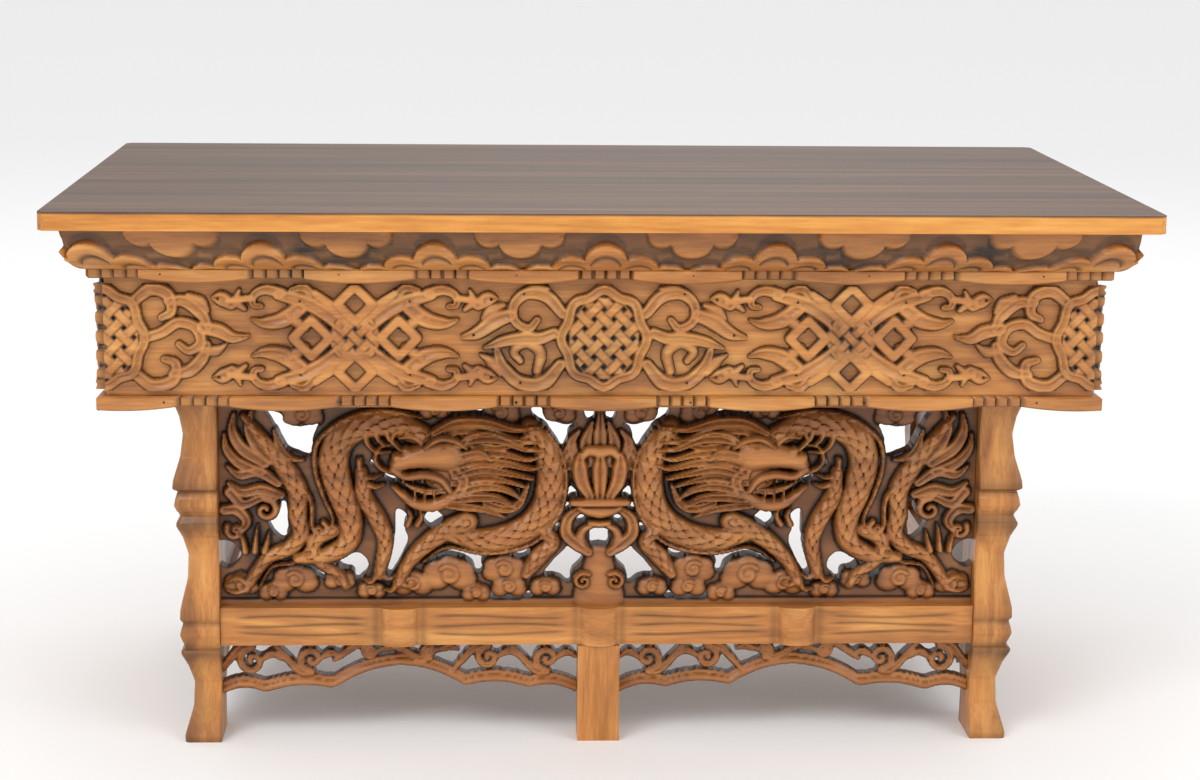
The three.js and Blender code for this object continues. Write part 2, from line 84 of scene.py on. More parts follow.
# Front rail and aprons
APRON_RISE = 18
RAIL_STEP = 0.8
RAIL_TABS = (-124, 0, 124)
RAIL_TAB_HALF = 11.5

# Frame mouldings
PATTERN_PERIOD = 105
CORNICE_RELIEF = 3.0
SLAT_GROOVE = 2.2
STRIP_WAVE = 2.6


def smooth_line(points, closed=False, fine=7):
    """Points on a smooth curve through the given ones."""
    p = np.array(points, float)
    if closed:
        p = np.vstack([p[-1], p, p[0], p[1]])
    else:
        p = np.vstack([2 * p[0] - p[1], p, 2 * p[-1] - p[-2]])
    share = (np.arange(fine) / fine)[:, None]
    parts = []
    for i in range(1, len(p) - 2):
        a, b, c, d = p[i - 1], p[i], p[i + 1], p[i + 2]
        parts.append(0.5 * (2 * b + (c - a) * share + (2 * a - 5 * b + 4 * c - d) * share ** 2
                            + (3 * b - a - 3 * c + d) * share ** 3))
    if not closed:
        parts.append(p[-2:-1])
    return np.vstack(parts)


def spiral(x, z, radius, turns=1.4, start=0.0, way=1, end=0.12):
    """Points of a scroll that winds in to its middle."""
    count = max(6, int(10 * turns))
    share = np.linspace(0, 1, count)
    angle = start + way * share * turns * 2 * math.pi
    reach = radius * (1 - (1 - end) * share)
    return np.column_stack([x + reach * np.cos(angle), z + reach * np.sin(angle)])


def scale_lift(along, side, pitch):
    """Height from 0 to 1 of overlapping scales on a body."""
    row = along / pitch
    lift = np.zeros_like(row)
    for odd in (0, 1):
        back = row - (np.floor((row - odd) / 2) * 2 + odd)
        across = side / pitch + 0.5 * odd
        across = across - np.floor(across) - 0.5
        reach = 0.35 + 1.3 * np.sqrt(np.clip(1 - (2 * across) ** 2, 0, 1))
        lift = np.maximum(lift, np.where(back < reach, 0.25 + 0.75 * back / reach, 0))
    return lift


def blurred(field, times):
    """The field with each cell averaged with its neighbours."""
    for _ in range(times):
        wide = np.pad(field, 1, mode="edge")
        field = (wide[1:-1, 1:-1] * 2 + wide[:-2, 1:-1] + wide[2:, 1:-1] + wide[1:-1, :-2] + wide[1:-1, 2:]) / 6
    return field


class Relief:
    """A carved board on a sheet of cells, each with the height of its wood."""

    def __init__(self, x0, x1, z0, z1, step, ground=None):
        columns = max(2, round((x1 - x0) / step) + 1)
        rows = max(2, round((z1 - z0) / step) + 1)
        self.step = step
        self.fullness = 1.0
        self.x, self.z = np.meshgrid(np.linspace(x0, x1, columns), np.linspace(z0, z1, rows))
        self.height = np.full(self.x.shape, float(ground or 0))
        self.solid = np.full(self.x.shape, ground is not None)

    def window(self, line, margin):
        """Rows and columns round a line."""
        xs = self.x[0]
        zs = self.z[:, 0]
        left = np.searchsorted(xs, line[:, 0].min() - margin)
        right = np.searchsorted(xs, line[:, 0].max() + margin)
        low = np.searchsorted(zs, line[:, 1].min() - margin)
        high = np.searchsorted(zs, line[:, 1].max() + margin)
        return slice(low, high), slice(left, right)

    def stroke(self, points, widths, low, high, form="round", pitch=0):
        """A raised band along a curve, with round, flat or grooved top, or with scales."""
        line = smooth_line(points)
        steps = np.diff(line, axis=0)
        lengths = np.maximum(np.hypot(steps[:, 0], steps[:, 1]), 1e-6)
        run = np.concatenate([[0], np.cumsum(lengths)])
        half = np.interp(run / run[-1], np.linspace(0, 1, len(widths)), widths) / 2 * self.fullness
        area = self.window(line, half.max() + self.step)
        x = self.x[area]
        z = self.z[area]
        if x.size == 0:
            return
        best = np.full(x.shape, 9.0)
        along = np.zeros(x.shape)
        side = np.zeros(x.shape)
        for i, (dx, dz) in enumerate(steps):
            ox = x - line[i, 0]
            oz = z - line[i, 1]
            t = np.clip((ox * dx + oz * dz) / lengths[i] ** 2, 0, 1)
            off_x = ox - t * dx
            off_z = oz - t * dz
            away = np.hypot(off_x, off_z)
            near = away / np.maximum(half[i] + (half[i + 1] - half[i]) * t, 0.05)
            closer = near < best
            best = np.where(closer, near, best)
            along = np.where(closer, run[i] + t * lengths[i], along)
            side = np.where(closer, np.sign(dx * off_z - dz * off_x) * away, side)
        top = low + (high - low) * self.profile(best, form)
        if pitch:
            top = top + SCALE_DEPTH * (scale_lift(along, side, pitch) - 0.6) * np.clip(2 - 2 * best, 0, 1)
        self.lay(area, best < 1, top)

    def profile(self, near, form):
        """Share of the full height at a share of the half width."""
        if form == "flat":
            return np.clip((1 - near) * 3.5, 0, 1) ** 0.5
        if form == "groove":
            return np.clip((1 - near) * 3.5, 0, 1) ** 0.6 - 0.38 * np.clip(1 - near / 0.42, 0, 1)
        return np.sqrt(np.clip(1 - near ** 2, 0, 1))

    def lay(self, area, inside, top):
        self.height[area] = np.where(inside, np.maximum(self.height[area], top), self.height[area])
        self.solid[area] |= inside

    def dome(self, x, z, wide, tall, low, high):
        """A rounded boss."""
        near = np.hypot((self.x - x) / (wide / 2), (self.z - z) / (tall / 2))
        whole = (slice(None), slice(None))
        self.lay(whole, near < 1, low + (high - low) * self.profile(near, "round"))

    def inside(self, points):
        """Cells inside a smooth closed outline."""
        line = smooth_line(points, closed=True, fine=4)
        result = np.zeros(self.x.shape, bool)
        x1, z1 = line[-1]
        for x2, z2 in line:
            crosses = (self.z < z1) != (self.z < z2)
            if z1 != z2:
                result ^= crosses & (self.x < (x2 - x1) * (self.z - z1) / (z2 - z1) + x1)
            x1, z1 = x2, z2
        return result

    def pierce(self, points, below=4.0):
        """Saws an opening, except through wood that stands high over the board."""
        self.solid &= ~(self.inside(points) & (self.height < below))

    def scorch_and_shade(self, recess_shade, edge_dark, reach=3):
        """Share of darkening at each cell: painted shade in deep and low places, and scorching on the lips of steep
        edges and openings.
        """
        height = np.where(self.solid, self.height, 0)
        rise_z, rise_x = np.gradient(height, self.step)
        steep = np.clip(np.hypot(rise_x, rise_z) / 1.6, 0, 1)
        # Painted shade: cells lower than their surroundings and the low ground get darker.
        deep = np.clip((blurred(height, reach * 4) - height) / 2.2, 0, 1)
        floor = np.clip(1 - height / max(height.max() * 0.5, 0.1), 0, 1)
        edge = 1 - blurred(self.solid.astype(float), reach)
        burn = recess_shade * (0.55 * deep + 0.45 * floor) + edge_dark * (0.55 * blurred(steep, 1) + 0.9 * edge)
        return np.clip(burn, 0, 1)


def spread_outwards(values, solid, times):
    """The values, with cells outside the solid given the average of the nearest solid ones."""
    weight = blurred(solid.astype(float), times)
    total = blurred(np.where(solid, values, 0), times)
    return np.where(solid, values, total / np.maximum(weight, 1e-6))


def tidy_edge(relief, field, cells):
    """Places of the cells' corners, with those at an opening moved onto its smooth line."""
    around = np.pad(cells, 1).astype(int)
    count = around[:-1, :-1] + around[1:, :-1] + around[:-1, 1:] + around[1:, 1:]
    slope_z, slope_x = np.gradient(field, relief.step)
    steep = np.maximum(slope_x ** 2 + slope_z ** 2, 0.02)
    move_x = (0.5 - field) / steep * slope_x
    move_z = (0.5 - field) / steep * slope_z
    far = np.maximum(np.hypot(move_x, move_z), 1e-6)
    near = (count > 0) & (count < 4) & (field > 0.1) & (field < 0.9)
    keep = np.where(near, np.minimum(1, 0.7 * relief.step / far), 0)
    move_x *= keep
    move_z *= keep
    move_x[:, [0, -1]] = 0
    move_z[[0, -1], :] = 0
    return relief.x + move_x, relief.z + move_z


def joined(cells):
    """Fills in beside cells that would touch another one only at a corner."""
    cells = cells.copy()
    for _ in range(8):
        rising = cells[:-1, :-1] & cells[1:, 1:] & ~cells[:-1, 1:] & ~cells[1:, :-1]
        cells[:-1, 1:] |= rising
        falling = cells[:-1, 1:] & cells[1:, :-1] & ~cells[:-1, :-1] & ~cells[1:, 1:]
        cells[:-1, :-1] |= falling
    return cells


def relief_mesh(name, relief, place, back, burn):
    """Closed mesh of a relief: carved face, flat back and the walls between."""
    field = blurred(relief.solid.astype(float), 4)
    cells = joined(field[:-1, :-1] + field[1:, :-1] + field[:-1, 1:] + field[1:, 1:] > 2)
    rows, columns = relief.x.shape
    number = np.arange(rows * columns).reshape(rows, columns)
    x, z = tidy_edge(relief, field, cells)
    height = spread_outwards(relief.height, relief.solid, 4)
    height = (height + blurred(height, 1)) / 2
    front = place(x.ravel(), z.ravel(), np.maximum(height, LEAST_RELIEF).ravel())
    behind = place(x.ravel(), z.ravel(), np.full(x.size, -float(back)))
    a = number[:-1, :-1][cells]
    b = number[:-1, 1:][cells]
    c = number[1:, 1:][cells]
    d = number[1:, :-1][cells]
    deep = rows * columns
    faces = [np.column_stack([a, b, c, d]), np.column_stack([d, c, b, a]) + deep]
    edged = np.pad(cells, 1)
    sides = [
        (edged[:-2, 1:-1], number[:-1, :-1], number[:-1, 1:]),
        (edged[1:-1, 2:], number[:-1, 1:], number[1:, 1:]),
        (edged[2:, 1:-1], number[1:, 1:], number[1:, :-1]),
        (edged[1:-1, :-2], number[1:, :-1], number[:-1, :-1]),
    ]
    for beyond, first, second in sides:
        open_side = cells & ~beyond
        one = first[open_side]
        two = second[open_side]
        faces.append(np.column_stack([two, one, one + deep, two + deep]))
    vertices = np.vstack([front, behind])
    quads = np.vstack(faces)
    used = np.unique(quads)
    renumber = np.zeros(len(vertices), int)
    renumber[used] = np.arange(len(used))
    # Back and side walls take a fixed 0.55: painted shade on the walls of the openings.
    shade = np.concatenate([burn.ravel(), np.full(deep, 0.55)])
    return make_mesh(name, vertices[used], renumber[quads], shade[used])


def volume(vertices, quads):
    """Six times the signed volume of a closed mesh."""
    p = vertices[quads]
    first = np.einsum("ij,ij->i", p[:, 0], np.cross(p[:, 1], p[:, 2]))
    second = np.einsum("ij,ij->i", p[:, 0], np.cross(p[:, 2], p[:, 3]))
    return float((first + second).sum())


def make_mesh(name, vertices, quads, shade, crisp=42):
    """A Blender object from points in millimetres and four-sided faces, turned to face outwards."""
    if volume(vertices, quads) < 0:
        quads = quads[:, ::-1]
    mesh = bpy.data.meshes.new(name)
    mesh.from_pydata((vertices * MM).tolist(), [], quads.tolist())
    burn = mesh.attributes.new("burn", "FLOAT", "POINT")
    burn.data.foreach_set("value", np.asarray(shade, np.float32))
    mesh.polygons.foreach_set("use_smooth", np.ones(len(mesh.polygons), bool))
    mesh.set_sharp_from_angle(angle=math.radians(crisp))
    mesh.update()
    piece = bpy.data.objects.new(name, mesh)
    bpy.context.scene.collection.objects.link(piece)
    return piece


def corners(node):
    """Box of a frame node in millimetres."""
    low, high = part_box(node)
    return np.array(low) / MM, np.array(high) / MM


def on_front(x0, y0, z0, flip=1):
    """Puts sheet points on a face that looks to the front."""
    return lambda u, h, out: np.column_stack([x0 + flip * u, y0 - out, z0 + h])


def on_side(x0, y0, z0, sign, flip=1):
    """Puts sheet points on a face that looks to the right (sign 1) or the left (sign -1)."""
    return lambda u, h, out: np.column_stack([x0 + sign * out, y0 + flip * u, z0 + h])


def finish_piece(piece, body, material, slot, *nodes):
    piece.data.materials.append(material)
    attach(piece, body)
    if nodes:
        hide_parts(*nodes)


# Dragon panel: every point is on the half sheet, measured from the middle and up from the rail

BODIES = [
    ([(112, 117), (130, 125), (148, 124), (162, 115), (167, 99), (163, 79), (157, 60), (159, 44), (172, 35),
      (190, 33)], [15, 19, 20, 20, 20, 19, 17, 15, 12, 8], 3, 10, 6.2),
    ([(223, 130), (210, 112), (198, 95), (190, 79), (190, 62), (188, 50), (195, 40), (208, 34), (216, 24),
      (223, 12)], [5, 9, 12, 14, 14, 13, 12, 11, 9, 8], 2, 8, 5.4),
    ([(44, 122), (34, 106), (31, 84), (36, 64), (50, 51), (72, 45), (92, 50)], [14, 17, 19, 20, 19, 17, 14], 3, 10, 6),
    ([(84, 58), (98, 51), (111, 41), (121, 29), (127, 16)], [15, 14, 12, 9, 8], 4, 10, 5),
    ([(150, 92), (148, 76), (140, 60), (135, 44), (139, 22)], [8, 11, 12, 10, 8], 5, 11, 5),
    ([(168, 52), (180, 44), (176, 30), (164, 22), (160, 14)], [10, 11, 9, 8, 7], 3, 9, 5),
    ([(36, 52), (30, 44), (38, 34), (46, 22)], [9, 12, 13, 8], 3, 9, 5),
]
SPINES = [
    ([(112, 129), (134, 134), (158, 129), (176, 114), (179, 96), (174, 76), (168, 60), (172, 48), (184, 41)], 3.6),
    ([(214, 116), (202, 96), (183, 76), (181, 56), (180, 48), (191, 31), (206, 27), (214, 14)], 3.2),
    ([(34, 122), (24, 104), (21, 84), (26, 62), (42, 43), (70, 36), (96, 40), (112, 30)], 3.2),
]
MANE = [
    [(112, 114), (97, 121), (80, 112), (60, 110), (39, 121)],
    [(104, 118), (84, 122), (67, 120), (53, 114), (38, 113)],
    [(90, 112), (76, 116), (62, 115), (48, 109), (36, 108)],
    [(92, 102), (76, 106), (60, 105), (46, 101), (38, 103)],
    [(92, 96), (78, 100), (60, 99), (44, 95), (36, 97)],
    [(92, 90), (74, 95), (56, 92), (42, 88)],
    [(92, 85), (74, 89), (60, 87), (46, 82)],
    [(90, 79), (74, 83), (60, 81), (49, 74)],
    [(92, 74), (78, 76), (64, 75), (52, 68)],
    [(96, 70), (83, 69), (72, 67), (60, 62)],
    [(72, 72), (60, 68), (51, 71), (45, 84)],
    [(104, 120), (90, 127), (72, 127), (54, 122), (36, 124)],
]
FACE_STROKES = [
    ([(96, 104), (108, 104), (119, 102), (127, 98)], [22, 18, 15, 10], 8, 15, "round"),
    ([(130, 95), (122, 90), (110, 91), (100, 88), (94, 80)], [5, 5.5, 6, 6, 4], 9, 14, "round"),
    ([(92, 76), (104, 70), (116, 71), (125, 78), (130, 83)], [8, 9, 8, 6, 3], 7, 12, "round"),
    ([(97, 80), (108, 79), (118, 82), (124, 86)], [5, 5, 4, 2], 5, 9, "groove"),
    ([(110, 110), (101, 116), (91, 115), (84, 110)], [3, 5, 5, 3], 10, 16, "round"),
    ([(88, 112), (80, 118), (68, 119), (56, 115)], [6, 5, 4, 2.5], 9, 14, "groove"),
    ([(86, 104), (76, 106), (68, 101)], [8, 7, 2], 8, 13, "groove"),
    ([(92, 94), (86, 88), (88, 80), (95, 76)], [8, 9, 8, 5], 7, 12, "groove"),
    ([(128, 92), (136, 94), (141, 101), (138, 109), (131, 111)], [3, 3, 2.8, 2.4, 1.6], 7, 10, "round"),
    ([(124, 107), (130, 113), (128, 120), (120, 121)], [3, 3, 2.6, 1.6], 8, 11, "round"),
    ([(112, 113), (118, 117), (126, 116)], [4, 3.4, 1.8], 9, 12, "round"),
]
CLAWS = [
    [(147, 121), (146, 112), (140, 106), (131, 106)],
    [(141, 122), (139, 114), (133, 110)],
    [(134, 121), (132, 114), (127, 112)],
    [(151, 100), (150, 92), (143, 88), (136, 91)],
    [(146, 84), (141, 82), (135, 84)],
    [(217, 38), (216, 48), (215, 56)],
    [(211, 38), (209, 45), (208, 51)],
    [(223, 38), (224, 45), (226, 51)],
    [(139, 24), (133, 19), (129, 22)],
    [(140, 23), (144, 17), (150, 19)],
    [(127, 18), (121, 14), (115, 17)],
    [(127, 18), (131, 11), (137, 12)],
    [(121, 56), (119, 62), (121, 68)],
    [(115, 56), (112, 62), (114, 68)],
    [(222, 16), (228, 20), (234, 17)],
    [(222, 12), (229, 10), (235, 12)],
]
FINS = [
    ([(206, 100), (216, 112), (220, 124), (218, 133)], [8, 10, 8, 3]),
    ([(210, 98), (224, 108), (230, 120), (229, 131)], [8, 10, 8, 3]),
    ([(212, 92), (226, 98), (234, 108), (235, 118)], [7, 9, 7, 2]),
    ([(202, 84), (214, 92), (226, 90), (234, 96)], [6, 9, 8, 2]),
    ([(200, 76), (212, 80), (224, 78), (233, 84)], [6, 9, 8, 3]),
    ([(232, 78), (224, 70), (213, 74), (203, 74)], [9, 8, 6, 3]),
    ([(204, 120), (200, 108), (193, 101), (186, 100)], [3, 6, 5, 2]),
    ([(236, 66), (228, 66), (222, 58), (227, 50)], [8, 9, 7, 5]),
]
CLOUDS = [
    (192, 17, 22), (164, 17, 15), (118, 14, 19), (95, 20, 26), (60, 24, 21), (57, 12, 17),
    (226, 14, 17), (144, 10, 14), (78, 8, 14), (34, 12, 15), (206, 9, 14),
]
HANGING_CLOUDS = [(187, 130, 21), (63, 131, 19), (26, 131, 16), (104, 133, 15)]
OPENINGS = [
    [(210, 133), (198, 130), (196, 125), (187, 122), (176, 126), (180, 115), (182, 102), (190, 104), (200, 110),
     (205, 124)],
    [(209, 61), (203, 69), (197, 70), (197, 48), (201, 45), (207, 52)],
    [(209, 24), (181, 31), (165, 31), (153, 36), (146, 29), (148, 21), (155, 16), (156, 24), (170, 24),
     (173, 17), (182, 23), (195, 27)],
    [(128, 66), (121, 61), (123, 53), (121, 43), (129, 25), (135, 16), (140, 18), (137, 27), (131, 36), (129, 53)],
    [(109, 63), (103, 65), (95, 55), (105, 52), (111, 58)],
    [(115, 28), (96, 37), (77, 41), (45, 41), (49, 32), (63, 37), (74, 33), (74, 23), (79, 22), (84, 31),
     (96, 34), (106, 30)],
    [(141, 102), (137, 98), (136, 92), (141, 94), (145, 97)],
    [(103, 134), (87, 133), (76, 135), (70, 129), (60, 124), (66, 123), (80, 129), (100, 131)],
    [(65, 82), (51, 80), (52, 75), (61, 78)],
    [(70, 10), (62, 8), (47, 8), (42, 13), (42, 5), (68, 4)],
    [(43, 135), (37, 135), (35, 129), (24, 124), (14, 124), (20, 119), (21, 106), (26, 103), (31, 107), (33, 114),
     (39, 118), (33, 122), (42, 129)],
    [(23, 85), (18, 82), (14, 76), (18, 72), (18, 67), (22, 61), (23, 53), (28, 51), (31, 54), (28, 60), (26, 77)],
    [(17, 44), (11, 35), (11, 30), (17, 23), (19, 14), (26, 19), (35, 20), (30, 29), (21, 39)],
    [(-5, 52), (5, 52), (6, 46), (4, 39), (-4, 39), (-6, 46)],
    [(9, 61), (14, 62), (14, 57), (10, 57)],
    [(10, 135), (4, 134), (5, 124), (9, 128)],
    [(239, 44), (230, 42), (226, 34), (232, 26), (239, 28)],
    [(132, 92), (127, 90), (129, 84), (136, 88)],
]


def draw_cloud(relief, x, z, size, low, high):
    """A lobed cloud with a scroll in its middle."""
    for lobe in range(5):
        angle = math.radians(-20 + 55 * lobe)
        reach = size * 0.34
        relief.dome(x + reach * math.cos(angle), z + reach * 0.7 * math.sin(angle), size * 0.72, size * 0.62, low, high)
    relief.stroke(spiral(x, z + 0.05 * size, size * 0.26, 1.3, math.pi * 0.2), [size * 0.16, size * 0.2], high - 1,
                  high + 1.6)


def draw_centre(relief):
    """Bowl of jewels with its flames, on a scrolled stand."""
    flames = [[(0, 100), (0, 118), (0, 135)], [(8, 98), (9, 112), (5, 126)], [(15, 100), (18, 112), (13, 120)],
              [(20, 96), (19, 108), (24, 100)], [(23, 84), (24, 96), (20, 104)]]
    for flame, width in zip(flames, (10, 9, 8, 8, 7)):
        relief.stroke(flame, [width, width, 2.5], 2, 6, "groove")
    relief.stroke([(0, 96), (12, 94), (22, 92)], [26, 24, 10], 1, 4)
    for x, lean in ((0, 0), (10.5, 4)):
        relief.stroke([(x * 0.62, 76), (x + lean * 0.2, 86), (x + lean * 0.6, 98), (x + lean * 0.5, 104)],
                      [7, 10, 11, 5], 5, 10, "groove")
    relief.stroke([(0, 106), (7, 107), (11, 103)], [9, 8, 5], 6, 10)
    relief.stroke([(0, 72), (14, 72), (17, 72)], [6, 6, 5], 8, 12, "flat")
    relief.stroke([(0, 65), (8, 66), (13, 68)], [10, 8, 4], 5, 10)
    relief.stroke([(14, 66), (20, 60), (21, 50), (15, 43), (7, 37)], [6, 8, 9, 9, 7], 3, 8, "groove")
    relief.stroke([(5, 55), (10, 52), (12, 46), (8, 38)], [4, 6, 7, 6], 3, 7)
    relief.stroke([(0, 34), (0, 20), (0, 4)], [16, 24, 34], 2, 6)
    relief.stroke(spiral(10, 17, 6, 1.4, 2.2, -1), [4, 2.5], 5, 9)
    relief.stroke([(0, 56), (6, 57)], [5, 4], 4, 8)


def draw_dragon(relief):
    """One dragon in high relief, its head turned outwards and its body looped round it."""
    for points, widths in FINS:
        relief.stroke(points, widths, 1.5, 6.5, "groove")
    for points, widths, low, high, pitch in BODIES:
        relief.stroke(points, widths, low, high, "round", pitch)
    for points, width in SPINES:
        relief.stroke(points, [width * 0.6, width, width, width * 0.5], 3, 7.5, "round", 3.4)
    relief.dome(92, 96, 44, 40, 4, 10)
    for number, points in enumerate(MANE):
        relief.stroke(points, [5, 7.5, 7, 5, 2], 5 + number % 3, 10.5 + 1.3 * (number % 3), "groove")
    for points, widths, low, high, form in FACE_STROKES:
        relief.stroke(points, widths, low, high, form)
    relief.dome(98, 108, 8, 7, 10, 15.5)
    relief.dome(127, 103, 8, 7, 10, 15)
    relief.dome(122, 108, 6, 5, 10, 14)
    for x in (124, 118, 112, 106):
        relief.stroke([(x, 91), (x - 0.6, 85)], [3, 1], 8, 12)
        relief.stroke([(x - 2, 74), (x - 1.6, 80)], [2.6, 1], 7, 11)
    for points in CLAWS:
        relief.stroke(points, [4.6, 3.8, 2.8, 1], 5, 9.5)
    relief.stroke(spiral(210, 66, 8, 1.2, 1.5, 1), [6, 3.5], 3, 7.5)
    relief.stroke(spiral(229, 52, 6, 1.2, 0.5, -1), [5, 3], 3, 7)
    relief.stroke(spiral(176, 53, 5, 1.1, 2.0, 1), [4, 2.5], 5, 8)


def dragon_sheet():
    relief = Relief(0, SHEET_HALF_WIDTH, 0, SHEET_HEIGHT, PANEL_STEP, ground=0.4)
    relief.stroke([(0, 1), (239, 1)], [7, 7], 1, 3, "flat")
    for x, z, size in CLOUDS:
        draw_cloud(relief, x, z, size, 2, 6)
    for x, z, size in HANGING_CLOUDS:
        draw_cloud(relief, x, z, size, 1, 4)
    draw_dragon(relief)
    draw_centre(relief)
    for outline in OPENINGS:
        relief.pierce(outline, 3.2)
    return relief


def add_dragon_panel(material):
    low, high = corners("dragon_panel")
    across = high[0] / SHEET_HALF_WIDTH
    up = (high[2] - low[2]) / SHEET_HEIGHT
    relief = dragon_sheet()
    burn = relief.scorch_and_shade(1.0, 0.85)
    face = high[1] - PANEL_BOARD
    for side, name in ((-1, "left"), (1, "right")):
        def place(u, h, out, side=side):
            return np.column_stack([side * u * across, face - out, low[2] + h * up])
        piece = relief_mesh("dragon_carving_" + name, relief, place, PANEL_BOARD, burn)
        finish_piece(piece, "root", material, "carved_wood", "dragon_panel")


# Ornaments of the frieze, drawn from their own middle


def quarters(points, signs):
    """The same points mirrored for each pair of signs."""
    return [[(sx * x, sz * z) for x, z in points] for sx, sz in signs]


ALL_QUARTERS = [(1, 1), (1, -1), (-1, 1), (-1, -1)]


def draw_weave(relief, wide, tall, spacing, width, low, high):
    """Basket weave of crossed bands, one over and one under in turn, inside an oval."""
    near = np.hypot(relief.x / wide, relief.z / tall)
    diagonal = spacing * math.sqrt(2)
    one = (relief.x + relief.z) / diagonal
    two = (relief.x - relief.z) / diagonal
    top = np.full(relief.x.shape, -1.0)
    for first, second in ((one, two), (two, one)):
        away = np.abs(first - np.round(first)) * spacing / (width / 2)
        turn = np.round(first) + (0 if first is one else 1)
        over = 0.5 + 0.5 * np.cos(math.pi * (second + turn))
        band = np.where(away < 1, low + (high - low) * (0.45 + 0.55 * over) * relief.profile(away, "flat"), -1)
        top = np.maximum(top, band)
    inside = (near < 1) & (top > 0)
    relief.lay((slice(None), slice(None)), inside, top)


def knot_sheet(half_length):
    relief = Relief(-half_length, half_length, -32, 32, ORNAMENT_STEP)
    relief.fullness = ORNAMENT_FULLNESS
    stretch = half_length / 87
    bars = [
        ([(7, 6), (18, 15), (31, 22), (46, 26)], [7, 8, 8, 6], "groove"),
        ([(3, 10), (13, 19), (24, 27)], [4.5, 5, 4], "flat"),
        ([(33, 18), (43, 11), (54, 9), (62, 11)], [8, 9, 7, 2], "groove"),
        ([(24, 24), (30, 30), (38, 29)], [4, 5, 3], "groove"),
        ([(30, 6), (36, 10), (42, 15)], [5, 6, 4], "round"),
        ([(44, 27), (53, 29), (60, 26), (61, 20), (56, 19)], [6, 6, 5, 4, 3], "groove"),
        ([(66, 17), (71, 22), (69, 29)], [3, 5, 2], "round"),
        ([(74, 20), (80, 23.5), (86, 24)], [6, 8, 1.5], "groove"),
        ([(62, 24), (70, 23), (76, 22)], [4, 4, 4], "flat"),
    ]
    for points, widths, form in bars:
        for mirrored in quarters([(x * stretch, z) for x, z in points], ALL_QUARTERS):
            relief.stroke(mirrored, widths, 1.6, 5.4, form)
    loops = [((0, 20.5), 10.5), ((0, -20.5), 10.5), ((26, 0), 11), ((-26, 0), 11)]
    for (x, z), reach in loops:
        ring = [(x - reach, z), (x, z + reach), (x + reach, z), (x, z - reach)]
        for start in range(4):
            relief.stroke([ring[start], ring[(start + 1) % 4]], [5, 5], 2.4, 6, "flat")
    draw_weave(relief, 15, 15, 7.6, 6, 2, 6.4)
    return relief


def medallion_strokes(relief):
    wing = [
        ([(25, 15), (34, 25), (46, 27), (54, 20), (53, 10), (45, 6), (40, 11)], [6, 7, 7, 6, 5, 5, 4], "groove"),
        ([(26, -16), (36, -27), (50, -27), (60, -18), (64, -8)], [6, 8, 8, 7, 4], "groove"),
        ([(56, 14), (66, 10), (76, 3), (87, 0)], [7, 9, 7, 2], "groove"),
        ([(40, -20), (38, -9), (46, -3), (54, -8), (50, -14)], [5, 6, 6, 5, 4], "round"),
        ([(30, 3), (38, 0), (48, 0), (60, -2), (72, -6)], [6, 7, 7, 6, 2], "groove"),
        ([(60, 20), (68, 17), (73, 12)], [3, 6, 2], "round"),
        ([(34, 30), (42, 31), (50, 28)], [3, 4, 2], "round"),
        ([(62, -22), (68, -14), (74, -10)], [3, 6, 2], "round"),
    ]
    for points, widths, form in wing:
        for mirrored in quarters(points, [(1, 1), (-1, 1)]):
            relief.stroke(mirrored, widths, 1.6, 5.4, form)


def lobed_ring(relief, wide, tall, width):
    """Ring of eight shallow lobes round the weave."""
    angles = np.linspace(0, 2 * math.pi, 49)
    reach = 1 + 0.05 * np.cos(8 * angles)
    points = np.column_stack([wide * reach * np.cos(angles), tall * reach * np.sin(angles)])
    relief.stroke(points, [width, width], 2.4, 6.2, "groove")


def medallion_sheet(half_length):
    relief = Relief(-half_length, half_length, -32, 32, ORNAMENT_STEP)
    relief.fullness = ORNAMENT_FULLNESS
    medallion_strokes(relief)
    draw_weave(relief, 21, 25, 8.2, 6.2, 2, 5.6)
    lobed_ring(relief, 24.5, 28, 5.4)
    return relief


def corner_sheet(length):
    relief = Relief(0, length, -32, 32, ORNAMENT_STEP)
    relief.fullness = ORNAMENT_FULLNESS
    stretch = length / 86
    scrolls = [
        ([(18, 22), (28, 29), (38, 26), (40, 16), (34, 12)], [6, 7, 7, 6, 4], "groove"),
        ([(18, -22), (28, -29), (40, -26), (42, -16), (35, -13)], [6, 7, 7, 6, 4], "groove"),
        ([(38, 22), (48, 22), (58, 14), (62, 6)], [5, 7, 7, 4], "groove"),
        ([(40, -22), (50, -20), (58, -12), (61, -4)], [5, 7, 7, 4], "groove"),
        ([(24, 0), (34, 3), (44, 9), (54, 6), (57, -3), (50, -8), (44, -4)], [6, 6, 6, 6, 6, 5, 4], "groove"),
        ([(58, 6), (68, 4), (76, 0), (86, 1)], [7, 8, 6, 2], "groove"),
        ([(58, -8), (66, -8), (72, -4)], [5, 6, 2], "round"),
        ([(50, 26), (58, 22), (62, 16)], [3, 5, 2], "round"),
    ]
    for points, widths, form in scrolls:
        relief.stroke([(x * stretch, z) for x, z in points], widths, 1.6, 5.4, form)
    draw_weave(relief, 20, 25, 8.2, 6.2, 2, 5.6)
    lobed_ring(relief, 23, 28, 5.4)
    return relief


def add_ornament(node, relief, place, material):
    burn = relief.scorch_and_shade(0.5, 1.0, 2)
    piece = relief_mesh(node + "_carving", relief, place, 0, burn)
    finish_piece(piece, "root", material, "carved_wood", node)


